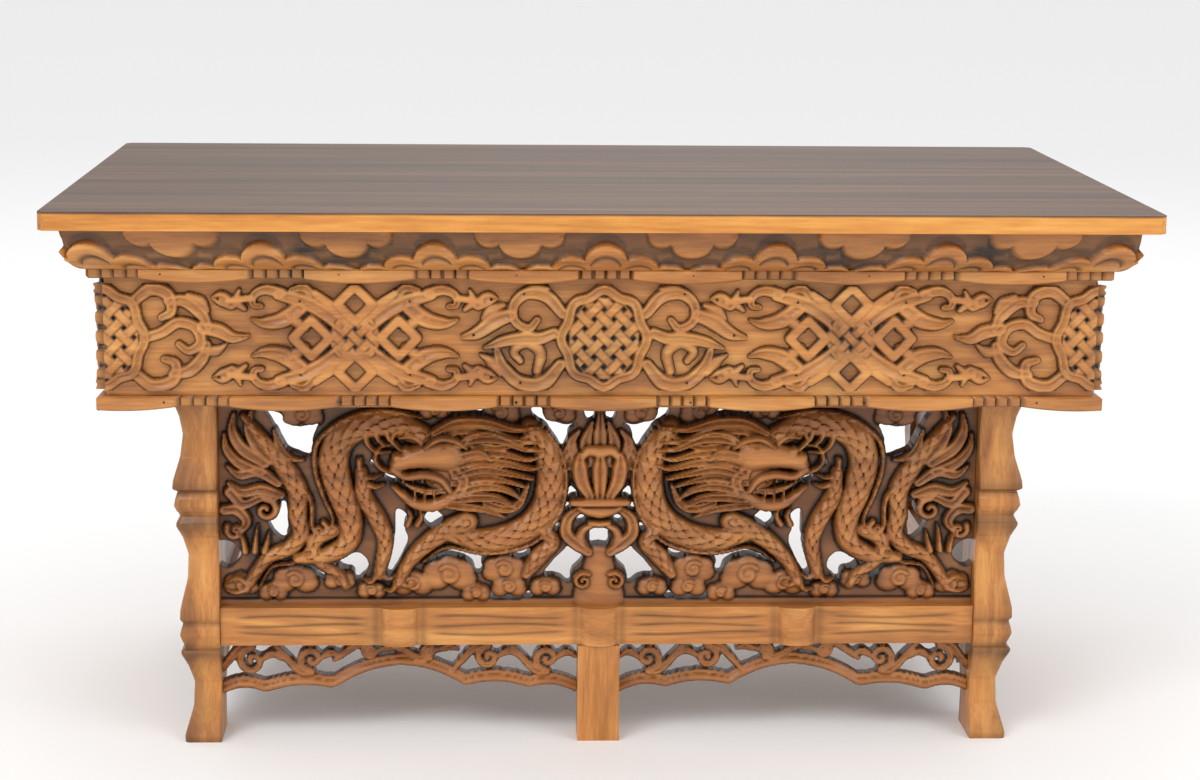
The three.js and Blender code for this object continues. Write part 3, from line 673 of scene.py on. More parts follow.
def add_frieze_ornaments(material):
    knot = None
    for node in ("knot_cross_front_left", "knot_cross_front_right", "knot_cross_left", "knot_cross_right"):
        low, high = corners(node)
        middle = (low + high) / 2
        knot = knot or knot_sheet(max(high[0] - low[0], high[1] - low[1]) / 2)
        if "front" in node:
            place = on_front(middle[0], high[1], middle[2])
        elif node.endswith("left"):
            place = on_side(high[0], middle[1], middle[2], -1)
        else:
            place = on_side(low[0], middle[1], middle[2], 1)
        add_ornament(node, knot, place, material)
    low, high = corners("medallion_front")
    middle = (low + high) / 2
    add_ornament("medallion_front", medallion_sheet((high[0] - low[0]) / 2), on_front(middle[0], high[1], middle[2]),
                 material)
    for node in ("corner_scroll_front_left", "corner_scroll_front_right"):
        low, high = corners(node)
        start, flip = (low[0], 1) if node.endswith("left") else (high[0], -1)
        place = on_front(start, high[1], (low[2] + high[2]) / 2, flip)
        add_ornament(node, corner_sheet(high[0] - low[0]), place, material)
    for side, sign in (("left", -1), ("right", 1)):
        for end in ("front", "rear"):
            node = "corner_scroll_%s_%s" % (side, end)
            low, high = corners(node)
            start, flip = (low[1], 1) if end == "front" else (high[1], -1)
            face = low[0] if sign > 0 else high[0]
            place = on_side(face, start, (low[2] + high[2]) / 2, sign, flip)
            add_ornament(node, corner_sheet(high[1] - low[1]), place, material)


# Aprons and side panels


def apron_edge(share, rise):
    """Height of an apron's cusped lower edge over its lowest point, at a share of its length."""
    stops = np.array([0, 0.12, 0.31, 0.5, 0.685, 0.866, 1])
    lifts = np.array([0, 0.5, 3, rise, 4.5, 3, 0])
    base = np.interp(share, stops, lifts)
    place = np.interp(share, stops, np.arange(len(stops)))
    hump = np.sin(math.pi * (place - np.floor(place)))
    return base + 3.2 * hump


def apron_sheet(length, drop):
    """Pierced scrolls over a moulded lower edge."""
    relief = Relief(0, length, -drop, 0, APRON_STEP)
    share = np.linspace(0, 1, 61)
    edge = -drop + 2.2 + apron_edge(share, APRON_RISE)
    line = np.column_stack([share * length, edge])
    relief.stroke(line, [4.6, 4.6], 1, 5, "round")
    relief.stroke(line + np.array([0, 3.6]), [3.4, 3.4], 0.5, 3.4, "round")
    relief.stroke([(0, -0.8), (length, -0.8)], [3, 3], 0.5, 3, "flat")
    cells = 6
    wide = length / cells
    for i in range(cells):
        x = wide * (i + 0.5)
        room = drop - apron_edge((i + 0.5) / cells, APRON_RISE) - 6
        up = i % 2 == 0
        middle = -room * 0.52
        way = 1 if up else -1
        curl = spiral(x, middle, room * 0.36, 1.35, math.pi * (0.5 if up else -0.5), way)
        relief.stroke(curl, [5, 4.4, 3.2], 1.5, 5, "groove")
        stem = [(x - wide * 0.62, -room * (0.95 if up else 0.1)), (x - wide * 0.42, -room * (0.55 if up else 0.5)),
                (x - wide * 0.2, -room * (0.16 if up else 0.86)), (x, -room * (0.14 if up else 0.9))]
        relief.stroke(stem, [3, 5, 5.5, 4.5], 1, 4.6, "groove")
        leaf = [(x + wide * 0.12, middle), (x + wide * 0.34, -room * 0.34), (x + wide * 0.5, -room * 0.5)]
        relief.stroke(leaf, [3, 5.5, 2], 1, 4.4, "groove")
    below = relief.z < -drop + apron_edge(relief.x / length, APRON_RISE)
    relief.solid &= ~below
    return relief


def add_aprons(material):
    low, high = corners("scroll_apron_left")
    front = apron_sheet(high[0] - low[0], high[2] - low[2])
    burn = front.scorch_and_shade(0.9, 0.7, 2)
    thick = 5
    for side, sign in (("left", -1), ("right", 1)):
        node = "scroll_apron_" + side
        low, high = corners(node)
        start = low[0] if sign < 0 else high[0]
        place = on_front(start, high[1] - thick, high[2], -sign)
        piece = relief_mesh(node + "_carving", front, place, thick, burn)
        finish_piece(piece, "root", material, "carved_wood", node)
    low, high = corners("side_apron_left")
    side_sheet = apron_sheet(high[1] - low[1], high[2] - low[2])
    burn = side_sheet.scorch_and_shade(0.9, 0.7, 2)
    for side, sign in (("left", -1), ("right", 1)):
        node = "side_apron_" + side
        low, high = corners(node)
        face = (high[0] - thick) if sign > 0 else (low[0] + thick)
        place = on_side(face, low[1], high[2], sign)
        piece = relief_mesh(node + "_carving", side_sheet, place, thick, burn)
        finish_piece(piece, side + "_side_frame", material, "carved_wood", node)


def side_panel_sheet(length, tall):
    """Clouds and leaf scrolls round a jewel, the same to left and right."""
    half = length / 2
    relief = Relief(-half, half, 0, tall, SIDE_PANEL_STEP, ground=0.4)
    frame_line = [[(-half, 1.5), (half, 1.5)], [(-half, tall - 1.5), (half, tall - 1.5)],
                  [(1.5 - half, 0), (1.5 - half, tall)], [(half - 1.5, 0), (half - 1.5, tall)]]
    for line in frame_line:
        relief.stroke(line, [7, 7], 1, 3, "flat")
    scrolls = [
        ([(10, 16), (26, 30), (46, 30), (60, 18), (80, 14), (98, 22)], [6, 9, 10, 8, 7, 4]),
        ([(14, 60), (30, 74), (50, 72), (58, 58), (48, 48), (38, 54)], [6, 9, 9, 8, 7, 5]),
        ([(62, 92), (70, 76), (86, 66), (98, 74), (94, 88)], [6, 9, 10, 8, 4]),
        ([(60, 44), (74, 50), (90, 44), (100, 52)], [6, 9, 8, 3]),
        ([(12, 96), (30, 100), (46, 92), (60, 98)], [5, 8, 8, 4]),
        ([(84, 30), (92, 36), (102, 34)], [6, 7, 3]),
    ]
    for points, widths in scrolls:
        for side in (-1, 1):
            relief.stroke([(side * x, z) for x, z in points], widths, 1, 5, "groove")
    for x, z, size in ((84, 14, 20), (44, 12, 18), (18, 10, 14), (90, 98, 18)):
        for side in (-1, 1):
            draw_cloud(relief, side * x, z, size, 1, 3.6)
    relief.stroke([(0, 30), (0, 44), (0, 58)], [10, 20, 8], 2, 6)
    for angle in (-0.7, 0, 0.7):
        tip = (30 * math.sin(angle), 58 + 32 * math.cos(angle))
        relief.stroke([(0, 54), (tip[0] * 0.6, 58 + (tip[1] - 58) * 0.5), tip], [7, 10, 2], 1, 5, "groove")
    for x, z, wide, high in ((38, 38, 9, 4), (76, 30, 8, 4), (28, 48, 5, 7), (68, 60, 5, 7), (76, 86, 4, 6), (44, 84, 8, 4),
                             (14, 72, 3.5, 8), (104, 58, 4, 5), (22, 88, 5, 4), (12, 24, 4, 4)):
        for side in (-1, 1):
            ring = [(side * x + wide * math.cos(a), z + high * math.sin(a)) for a in np.linspace(0, 2 * math.pi, 8)[:-1]]
            relief.pierce(ring, 3.2)
    return relief


def add_side_panels(material):
    low, high = corners("side_panel_right")
    relief = side_panel_sheet(high[1] - low[1], high[2] - low[2])
    burn = relief.scorch_and_shade(1.0, 0.8, 2)
    board = 6
    for side, sign in (("left", -1), ("right", 1)):
        node = "side_panel_" + side
        low, high = corners(node)
        face = low[0] + board if sign > 0 else high[0] - board
        place = on_side(face, (low[1] + high[1]) / 2, low[2], sign)
        piece = relief_mesh(node + "_carving", relief, place, board, burn)
        finish_piece(piece, side + "_side_frame", material, "carved_wood", node)


def rail_sheet(half, tall, rise):
    """Front rail with a half-round tab over each joint of the apron and three long grooves between tabs."""
    relief = Relief(-half, half, 0, tall, RAIL_STEP, ground=1)
    away = np.full(relief.x.shape, 999.0)
    for middle in RAIL_TABS:
        off = np.abs(relief.x - middle)
        away = np.minimum(away, off)
        tab = rise * np.sqrt(np.clip(1 - (off / RAIL_TAB_HALF) ** 2, 0, 1))
        relief.height = np.maximum(relief.height, tab)
    relief.height -= 0.35 * np.exp(-((away - RAIL_TAB_HALF - 3) / 2.4) ** 2)
    reach = np.clip(np.minimum(away - RAIL_TAB_HALF - 6, half - 8 - np.abs(relief.x)) / 10, 0, 1)
    for level in (0.3, 0.52, 0.74):
        line = tall * level + 0.9 * np.sin(relief.x / 17 + 9 * level)
        relief.height -= 0.75 * reach * np.exp(-((relief.z - line) / 0.75) ** 2)
    return relief


def add_front_rail(material):
    low, high = corners("front_rail")
    deep = high[1] - low[1]
    rise = 6
    relief = rail_sheet((high[0] - low[0]) / 2, high[2] - low[2], rise)
    # Painted shade in the rail's grooves, added to the edge scorching.
    grooves = np.clip((1 - relief.height) / 0.8, 0, 1)
    burn = np.clip(relief.scorch_and_shade(0.15, 0.7, 2) * 0.6 + 0.8 * grooves, 0, 1)
    board = deep - rise
    place = on_front((low[0] + high[0]) / 2, high[1] - board, low[2])
    piece = relief_mesh("front_rail_moulding", relief, place, board, burn)
    finish_piece(piece, "root", material, "box_wood", "front_rail")


# Swept mouldings


SIDE_TURNS = {"front": (0, -1), "right": (1, 0), "back": (0, 1), "left": (-1, 0)}


def swept_bar(name, side, section, stations):
    """A mitred length of moulding. section(place) gives rows of inset, height and darkness (painted shade with
    scorching) at a place along it.
    """
    half = np.array([cad_box[1][0] - cad_box[0][0], cad_box[1][1] - cad_box[0][1]]) / 2 / MM
    out = np.array(SIDE_TURNS[side], float)
    along = np.array([-out[1], out[0]])
    deep = half[0] if out[0] else half[1]
    length = half[1] if out[0] else half[0]
    points = []
    burn = []
    for share in np.linspace(-1, 1, stations):
        rows = section(share * length)
        for inset, height, dark in rows:
            flat = out * (deep - inset) + along * share * (length - inset - 0.15)
            points.append((flat[0], flat[1], height))
            burn.append(dark)
    count = len(rows)
    ring = np.arange(count)
    after = (ring + 1) % count
    faces = []
    for i in range(stations - 1):
        base = i * count
        faces.append(np.column_stack([base + ring, base + after, base + count + after, base + count + ring]))
    near_end = [face[::-1] for face in cap_faces(count, 0)]
    far_end = cap_faces(count, (stations - 1) * count)
    faces.append(np.array(near_end + far_end))
    return make_mesh(name, np.array(points), np.vstack(faces), burn, 35)


def cap_faces(count, base):
    """Four-sided faces that close the end of a bar whose section has an even number of points."""
    return [[base + i, base + i + 1, base + count - 2 - i, base + count - 1 - i] for i in range(count // 2 - 1)]


# Scallops of a cloud on the cornice: centre, half width, foot of its edge as a share down, and rise
CLOUD_HILLS = [(0, 13, 0.5, 0.3), (21, 12, 0.7, 0.28), (40, 11, 0.95, 0.3)]
HANGING_HILLS = [(52.5, 13, 0.18, 0.3), (34, 9, 0.06, 0.22)]


def hill(place, centre, half, top, drop):
    """Edge of one scallop as a share down the cornice, or 1.2 outside it."""
    near = abs((place - centre) / half)
    return top - drop * math.sqrt(1 - near ** 2) if near < 1 else 1.2


def soft_step(value, width):
    """From 0 to 1 as the value passes 0."""
    share = min(1, max(0, value / width + 0.5))
    return share * share * (3 - 2 * share)


def bump_at(value, width):
    return math.exp(-(value / width) ** 2)


def cornice_relief(place, down):
    """Lift of the cloud bands on the cornice and their darkness, at a place along and a share down it; the darkness
    darkens the sunk ground and puts painted shade just outside the raised edges, in the inner groove and under the
    hanging clouds.
    """
    p = abs((place + PATTERN_PERIOD * 1000.5) % PATTERN_PERIOD - PATTERN_PERIOD / 2)
    outer = min(hill(p, c, h, t, d) for c, h, t, d in CLOUD_HILLS)
    inner = min(hill(p, c, h * 0.72, t + 0.2, d * 0.8) for c, h, t, d in CLOUD_HILLS)
    hang = 1.2 - min(hill(p, c, h, 1.2 - t, d) for c, h, t, d in HANGING_HILLS)
    lift = CORNICE_RELIEF * max(soft_step(down - outer, 0.1), 0.85 * soft_step(hang - down, 0.1))
    lift += 0.9 * bump_at(down - outer - 0.06, 0.05) - 1.5 * bump_at(down - inner, 0.05)
    # Painted shade: darker on the sunk ground, just outside each raised edge and in the inner groove.
    dark = 0.8 - 0.22 * lift + 0.55 * bump_at(down - outer + 0.07, 0.07) + 0.5 * bump_at(down - inner, 0.05)
    if hang > 0.05:
        lift += 0.7 * bump_at(down - hang + 0.06, 0.05)
        # Painted shadow just below the hanging cloud.
        dark += 0.45 * bump_at(down - hang - 0.06, 0.06)
    return lift, min(1, max(0, dark))


def cornice_section(low, high, outer_foot, inner):
    """Hollow of the cornice with its carving, as rows of inset, height and darkness."""
    steps = 34

    def section(place):
        rows = []
        for i in range(steps + 1):
            down = i / steps
            angle = down * math.pi / 2
            lift, dark = cornice_relief(place, down)
            if i in (0, steps):
                lift = 0
            inset = 12 + (outer_foot - 12) * (1 - math.cos(angle))
            height = high - (high - low) * math.sin(angle)
            rows.append((inset - lift * math.cos(angle * 0.6), height - lift * 0.3 * math.sin(angle), dark))
        for i in range(steps + 1):
            rows.append((inner, low + (high - low) * i / steps, 0.5))
        return rows
    return section


def strip_section(low, high, outer, inner, phase):
    """Strip in long lengths between groups of short slats, its lower edge in slow waves."""
    def section(place):
        p = (place + phase + PATTERN_PERIOD * 1000.5) % PATTERN_PERIOD - PATTERN_PERIOD / 2
        groove = max(math.exp(-((abs(p) - at) / 0.9) ** 2) for at in (36, 44.5))
        groove = max(groove, math.exp(-((abs(p) - PATTERN_PERIOD / 2) / 0.9) ** 2))
        long_part = max(0.0, 1 - (p / 36) ** 2)
        step_in = 1.4 if abs(p) > 36 else 0
        wave = STRIP_WAVE * long_part - 0.6
        # Painted shade: darker in the grooves between slats and on the stepped-in slats; the underside rows below carry
        # painted shade under the wavy lower edge.
        dark = min(1, 0.1 + 0.9 * groove + (0.2 if abs(p) > 36 else 0))
        front = outer + SLAT_GROOVE * groove + step_in - 0.5 * long_part
        return [(front + 1.2, high, dark), (front, high - 1, dark), (front, low - wave + 1, dark),
                (front + 1, low - wave, min(1, dark + 0.4)), (front + 7, low, 0.8), (inner, low, 0.6),
                (inner, high, 0.6), (front + 7, high, 0.6)]
    return section


def add_mouldings(material):
    half_depth = cad_box[1][1] / MM
    for side in SIDE_TURNS:
        low, high = corners("cornice_front")
        inner = half_depth + high[1]
        section = cornice_section(low[2] + 0.05, high[2] - 0.05, 27, inner)
        stations = 620 if side in ("front", "back") else 380
        piece = swept_bar("cornice_%s_carving" % side, side, section, stations)
        finish_piece(piece, "root", material, "box_wood", "cornice_" + side)
        for strip, phase in (("upper_strip_", 52), ("lower_strip_", 0)):
            low, high = corners(strip + "front")
            section = strip_section(low[2] + 0.05, high[2] - 0.05, half_depth + low[1], half_depth + high[1], phase)
            piece = swept_bar(strip + side + "_moulding", side, section, stations)
            finish_piece(piece, "root", material, "box_wood", strip + side)


# Posts

# Rows of height, half width and darkness; the darkness is painted shade in the creases between the mouldings and at the
# foot.
POST_LEVELS = [
    (0.0, 22.5, 0.7), (4, 22.8, 0.3), (22, 17.5, 0.0), (38, 16.8, 0.0), (50, 20.5, 0.3), (57, 24.0, 0.8),
    (59.5, 24.2, 0.9), (60.5, 21.5, 0.9), (64, 22.6, 0.2), (69, 24.6, 0.1), (74, 23.5, 0.2), (77, 22.4, 0.7),
    (79, 24.4, 0.4), (86, 24.0, 0.1), (105, 19.5, 0.0), (120, 18.8, 0.0), (132, 22.0, 0.2), (139, 25.4, 0.7),
    (141, 25.2, 0.9), (145, 22.6, 0.8), (148, 24.4, 0.2), (152, 26.4, 0.1), (157, 25.4, 0.1), (160, 24.4, 0.6),
    (161, 23.4, 1.0), (162.5, 27.2, 0.9), (168, 26.6, 0.4), (182, 22.4, 0.1), (196, 20.6, 0.0), (208, 22.6, 0.1),
    (219, 26.4, 0.3),
]


def post_mesh(name, x0, y0, sign_x, sign_y, top):
    """Square post whose two outer faces follow the stacked ogee outline, with the outer corner rounded."""
    levels = np.array(POST_LEVELS)
    heights = np.unique(np.concatenate([np.linspace(0, top, 150), levels[:, 0]]))
    heights = heights[heights <= top]
    reach = np.interp(heights, levels[:, 0], levels[:, 1])
    dark = np.interp(heights, levels[:, 0], levels[:, 2])
    for _ in range(2):
        reach[1:-1] = reach[1:-1] * 0.6 + (reach[:-2] + reach[2:]) * 0.2
    radius = 2.6
    points = []
    burn = []
    for height, out, char_and_shade in zip(heights, reach, dark):
        arc = [(out - radius + radius * math.cos(a), out - radius + radius * math.sin(a))
               for a in np.linspace(0, math.pi / 2, 6)]
        ring = [(0.4, 0), (out * 0.5, 0), (out - 0.8, 0), (out, 0.8), (out, out * 0.5)] + arc
        ring += [(out * 0.5, out), (0.8, out), (0, out - 0.8), (0, out * 0.5), (0, 0.4)]
        points += [(x0 + sign_x * u, y0 + sign_y * v, height) for u, v in ring]
        # Painted shade from the darkness column, with scorching on the rounded outer corner.
        burn += [min(1, char_and_shade + 0.35 * (max(u, v) > out - 1.5 and min(u, v) > out - 3))
                 for u, v in ring]
    count = len(ring)
    ring_number = np.arange(count)
    after = (ring_number + 1) % count
    faces = [np.column_stack([i * count + ring_number, i * count + after, (i + 1) * count + after,
                              (i + 1) * count + ring_number]) for i in range(len(heights) - 1)]
    last = (len(heights) - 1) * count
    faces.append(np.array([face[::-1] for face in cap_faces(count, 0)]))
    faces.append(np.array(cap_faces(count, last)))
    return make_mesh(name, np.array(points), np.vstack(faces), burn, 38)


def add_posts(material):
    for side, sign in (("left", -1), ("right", 1)):
        for node, body, sign_y in (("front_post_" + side, "root", -1), ("rear_post_" + side, side + "_side_frame", 1)):
            low, high = corners(node)
            x0 = low[0] if sign > 0 else high[0]
            y0 = high[1] if sign_y < 0 else low[1]
            piece = post_mesh(node + "_turned", x0, y0, sign, sign_y, high[2])
            finish_piece(piece, body, material, "leg_wood", node)


# Nails and screws


def stud_tree():
    """Geometry nodes: a small ball on every point."""
    tree = bpy.data.node_groups.new("studs", "GeometryNodeTree")
    tree.interface.new_socket("Points", in_out="INPUT", socket_type="NodeSocketGeometry")
    radius = tree.interface.new_socket("Head radius", in_out="INPUT", socket_type="NodeSocketFloat")
    finish = tree.interface.new_socket("Finish", in_out="INPUT", socket_type="NodeSocketMaterial")
    tree.interface.new_socket("Studs", in_out="OUTPUT", socket_type="NodeSocketGeometry")
    source = tree.nodes.new("NodeGroupInput")
    ball = tree.nodes.new("GeometryNodeMeshIcoSphere")
    ball.inputs["Subdivisions"].default_value = 2
    spread = tree.nodes.new("GeometryNodeInstanceOnPoints")
    real = tree.nodes.new("GeometryNodeRealizeInstances")
    paint = tree.nodes.new("GeometryNodeSetMaterial")
    result = tree.nodes.new("NodeGroupOutput")
    tree.links.new(source.outputs["Head radius"], ball.inputs["Radius"])
    tree.links.new(source.outputs["Points"], spread.inputs["Points"])
    tree.links.new(ball.outputs["Mesh"], spread.inputs["Instance"])
    tree.links.new(spread.outputs["Instances"], real.inputs["Geometry"])
    tree.links.new(real.outputs["Geometry"], paint.inputs["Geometry"])
    tree.links.new(source.outputs["Finish"], paint.inputs["Material"])
    tree.links.new(paint.outputs["Geometry"], result.inputs["Studs"])
    return tree, radius.identifier, finish.identifier


def add_studs(name, body, points, radius, material, tree):
    """One mesh of stud heads, for one body."""
    group, radius_key, finish_key = tree
    mesh = bpy.data.meshes.new(name + "_points")
    mesh.from_pydata([tuple(c * MM for c in point) for point in points], [], [])
    holder = bpy.data.objects.new(name + "_points", mesh)
    bpy.context.scene.collection.objects.link(holder)
    modifier = holder.modifiers.new("studs", "NODES")
    modifier.node_group = group
    modifier[radius_key] = radius * MM
    modifier[finish_key] = material
    evaluated = holder.evaluated_get(bpy.context.evaluated_depsgraph_get())
    result = bpy.data.meshes.new_from_object(evaluated)
    bpy.data.objects.remove(holder)
    result.polygons.foreach_set("use_smooth", np.ones(len(result.polygons), bool))
    piece = bpy.data.objects.new(name, result)
    bpy.context.scene.collection.objects.link(piece)
    if not result.materials:
        result.materials.append(material)
    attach(piece, body)


def nail_points():
    """Nails on the front ornaments and the front strips."""
    points = []
    for node in ("knot_cross_front_left", "knot_cross_front_right"):
        low, high = corners(node)
        x = (low[0] + high[0]) / 2
        z = (low[2] + high[2]) / 2
        for dx, dz in ((33, 22), (-33, 22), (33, -22), (-33, -22), (82, 23.5), (-82, 23.5), (82, -23.5), (-82, -23.5)):
            points.append((x + dx * 0.988, high[1] - 4.9, z + dz))
    low, high = corners("medallion_front")
    for dx, dz in ((48, 27), (-48, 27), (50, -27), (-50, -27), (78, 2), (-78, 2)):
        points.append(((low[0] + high[0]) / 2 + dx, high[1] - 4.6, (low[2] + high[2]) / 2 + dz))
    for node in ("upper_strip_front", "lower_strip_front"):
        low, high = corners(node)
        for i in range(-3, 3):
            points.append(((i + 0.5) * PATTERN_PERIOD, low[1] + 0.1, (low[2] + high[2]) / 2))
    return points


def screw_points(side, leaf):
    """Screws in the hinge leaves of one side."""
    points = []
    for end in ("front", "rear"):
        low, high = corners("hinge_%s_leaf_%s_%s" % (leaf, side, end))
        middle = (low[1] + high[1]) / 2
        for dy in (-14, 0, 14):
            if leaf == "fixed":
                inner = low[0] if side == "right" else high[0]
                x = inner + (8 if side == "right" else -8)
                points.append((x, middle + dy, high[2] - 1.4))
            else:
                face = high[0] - 1.4 if side == "right" else low[0] + 1.4
                points.append((face, middle + dy, low[2] + 8))
    return points


# Finishes


class Value:
    """A number from a node, with arithmetic."""

    def __init__(self, paint, socket):
        self.paint = paint
        self.socket = socket

    def join(self, operation, first, second):
        return self.paint.value("ShaderNodeMath", {"operation": operation}, {0: first, 1: second})

    def __add__(self, other):
        return self.join("ADD", self, other)

    def __radd__(self, other):
        return self.join("ADD", other, self)

    def __sub__(self, other):
        return self.join("SUBTRACT", self, other)

    def __rsub__(self, other):
        return self.join("SUBTRACT", other, self)

    def __mul__(self, other):
        return self.join("MULTIPLY", self, other)

    def __rmul__(self, other):
        return self.join("MULTIPLY", other, self)


class Paint:
    """A material whose nodes are added one by one."""

    def __init__(self, name, **constants):
        self.material = bpy.data.materials.new(name)
        self.material.use_nodes = True
        self.tree = self.material.node_tree
        self.tree.nodes.clear()
        self.shader = self.tree.nodes.new("ShaderNodeBsdfPrincipled")
        output = self.tree.nodes.new("ShaderNodeOutputMaterial")
        self.tree.links.new(self.shader.outputs[0], output.inputs[0])
        for key, value in constants.items():
            self.shader.inputs[key.replace("_", " ")].default_value = value

    def value(self, kind, settings, inputs, output=0):
        """Adds a node, sets it up and gives one of its outputs."""
        node = self.tree.nodes.new(kind)
        for key, setting in settings.items():
            if key == "stops":
                self.set_stops(node.color_ramp, setting)
            else:
                setattr(node, key, setting)
        for key, source in inputs.items():
            self.feed(node.inputs[key], source)
        return Value(self, node.outputs[output])

    def set_stops(self, ramp, stops):
        while len(ramp.elements) < len(stops):
            ramp.elements.new(0.5)
        for element, (place, colour) in zip(ramp.elements, stops):
            element.position = place
            element.color = (*colour, 1)

    def feed(self, socket, source):
        if isinstance(source, Value):
            self.tree.links.new(source.socket, socket)
        else:
            socket.default_value = source

    def mixed(self, share, first, second):
        settings = {"data_type": "RGBA", "clamp_factor": True}
        return self.value("ShaderNodeMix", settings, {0: share, 6: first, 7: second}, 2)

    def noise(self, stretch, detail=4, distortion=0.0, roughness=0.55):
        """Noise from 0 to 1 on object coordinates, stretched by so many cycles a metre along each axis."""
        place = self.value("ShaderNodeTexCoord", {}, {}, 3)
        scaled = self.value("ShaderNodeMapping", {}, {0: place, 3: stretch})
        inputs = {"Vector": scaled, "Scale": 1.0, "Detail": detail, "Distortion": distortion, "Roughness": roughness}
        return self.value("ShaderNodeTexNoise", {}, inputs)

    def use(self, **sources):
        for key, source in sources.items():
            self.feed(self.shader.inputs[key.replace("_", " ")], source)


def grain_stretch(way, along, across):
    """Noise stretch for grain that runs along an axis."""
    return tuple(along if axis == way else across for axis in "XYZ")


def varnished_wood(name, way, dark, middle, pale, char_and_shade, scorch_and_shade=1.0, base_rough=0.36, patchy=0.3):
    """Honey-coloured varnished hardwood, darkened towards a charred colour where the burn attribute says: torch
    scorching on edges and painted shade in recesses, grooves and creases.
    """
    paint = Paint(name, Coat_Roughness=0.18, Specular_IOR_Level=0.42)
    bands = paint.noise(grain_stretch(way, 5, 60), 5, 1.2)
    fibre = paint.noise(grain_stretch(way, 60, 900), 3)
    patches = paint.noise((16, 16, 16), 3, 0.6)
    tone = bands * 0.62 + fibre * 0.2 + patches * 0.18
    wood = paint.value("ShaderNodeValToRGB", {"stops": [(0.34, dark), (0.5, middle), (0.66, pale)]}, {0: tone})
    burn = paint.value("ShaderNodeAttribute", {"attribute_name": "burn"}, {}, 2)
    smoke = paint.value("ShaderNodeMapRange", {}, {0: patches, 1: 0.5, 2: 0.72, 3: 0.0, 4: patchy})
    # Painted shade rides on the same mix as the scorching, both drawn towards the charred colour.
    char_and_shade_share = burn * (0.62 + fibre * 0.4) * scorch_and_shade + smoke
    paint.use(Base_Color=paint.mixed(char_and_shade_share, wood, (*char_and_shade, 1)))
    paint.use(Roughness=base_rough + fibre * 0.14 + char_and_shade_share * 0.12, Coat_Weight=0.32 - char_and_shade_share * 0.12)
    paint.use(Normal=paint.value("ShaderNodeBump", {}, {"Strength": 0.22, "Distance": 0.0006,
                                                        "Height": fibre + bands * 0.5}))
    return paint.material


def top_finish():
    """Dark stained top with fine straight grain and a satin varnish."""
    paint = Paint("dark_top", Coat_Roughness=0.3, Specular_IOR_Level=0.35)
    bands = paint.noise((2.2, 70, 40), 6, 0.8)
    fibre = paint.noise((30, 1100, 300), 3)
    tone = bands * 0.7 + fibre * 0.3
    stops = [(0.36, (0.052, 0.025, 0.013)), (0.52, (0.105, 0.05, 0.024)), (0.66, (0.19, 0.095, 0.042))]
    stain = paint.value("ShaderNodeValToRGB", {"stops": stops}, {0: tone})
    place = paint.value("ShaderNodeTexCoord", {}, {}, 3)
    height = paint.value("ShaderNodeSeparateXYZ", {}, {0: place}, 2)
    under_edge = paint.value("ShaderNodeMapRange", {}, {0: height, 1: 0.3382, 2: 0.3394, 3: 1.0, 4: 0.0})
    side_tone = paint.value("ShaderNodeValToRGB", {"stops": [(0.34, (0.3, 0.105, 0.02)), (0.5, (0.6, 0.24, 0.045)),
                                                             (0.68, (0.82, 0.42, 0.1))]}, {0: tone})
    paint.use(Base_Color=paint.mixed(under_edge, stain, side_tone))
    paint.use(Roughness=0.46 + fibre * 0.16, Coat_Weight=0.04 + bands * 0.05)
    paint.use(Normal=paint.value("ShaderNodeBump", {}, {"Strength": 0.12, "Distance": 0.0004, "Height": fibre}))
    return paint.material


def metal_finish(name, dark, bright, roughness):
    """Aged metal with tarnish in patches."""
    paint = Paint(name, Metallic=1.0)
    patches = paint.noise((120, 120, 120), 4, 0.4)
    colour = paint.value("ShaderNodeValToRGB", {"stops": [(0.36, dark), (0.62, bright)]}, {0: patches})
    paint.use(Base_Color=colour, Roughness=roughness + patches * 0.3)
    paint.use(Normal=paint.value("ShaderNodeBump", {}, {"Strength": 0.15, "Distance": 0.0003, "Height": patches}))
    return paint.material


HONEY = {"dark": (0.25, 0.085, 0.016), "middle": (0.5, 0.19, 0.038), "pale": (0.72, 0.34, 0.085)}
CARVED = {"dark": (0.2, 0.062, 0.013), "middle": (0.42, 0.145, 0.028), "pale": (0.6, 0.25, 0.06)}
# Charred colour, also used as the colour of the painted shade.
CHAR_AND_SHADE = (0.02, 0.0085, 0.004)

WOODS = {
    "along_x": varnished_wood("honey_wood_along_x", "X", char_and_shade=CHAR_AND_SHADE, **HONEY),
    "along_y": varnished_wood("honey_wood_along_y", "Y", char_and_shade=CHAR_AND_SHADE, **HONEY),
    "along_z": varnished_wood("honey_wood_along_z", "Z", char_and_shade=CHAR_AND_SHADE, scorch_and_shade=0.75, **HONEY),
    "ornament": varnished_wood("ornament_wood", "X", char_and_shade=CHAR_AND_SHADE, scorch_and_shade=1.3, **HONEY),
    "carved": varnished_wood("carved_wood_along_x", "X", char_and_shade=CHAR_AND_SHADE, scorch_and_shade=1.25, base_rough=0.38, **CARVED),
    "carved_side": varnished_wood("carved_wood_along_y", "Y", char_and_shade=CHAR_AND_SHADE, base_rough=0.38, **CARVED),
}


def dress_nodes():
    """Materials for the frame nodes that keep their own shape."""
    brass = metal_finish("aged_brass", (0.2, 0.11, 0.035), (0.62, 0.42, 0.16), 0.3)
    top = top_finish()
    for name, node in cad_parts.items():
        if name == "table_top":
            material = top
        elif name.startswith("hinge"):
            material = brass
        elif name.startswith(("side_rail", "side_top_rail", "top_batten")) or name in ("frieze_left", "frieze_right"):
            material = WOODS["along_y"]
        elif "stile" in name or "foot" in name:
            material = WOODS["along_z"]
        else:
            material = WOODS["along_x"]
        node.data.materials.clear()
        node.data.materials.append(material)
    return brass


# Stage, lamps and camera


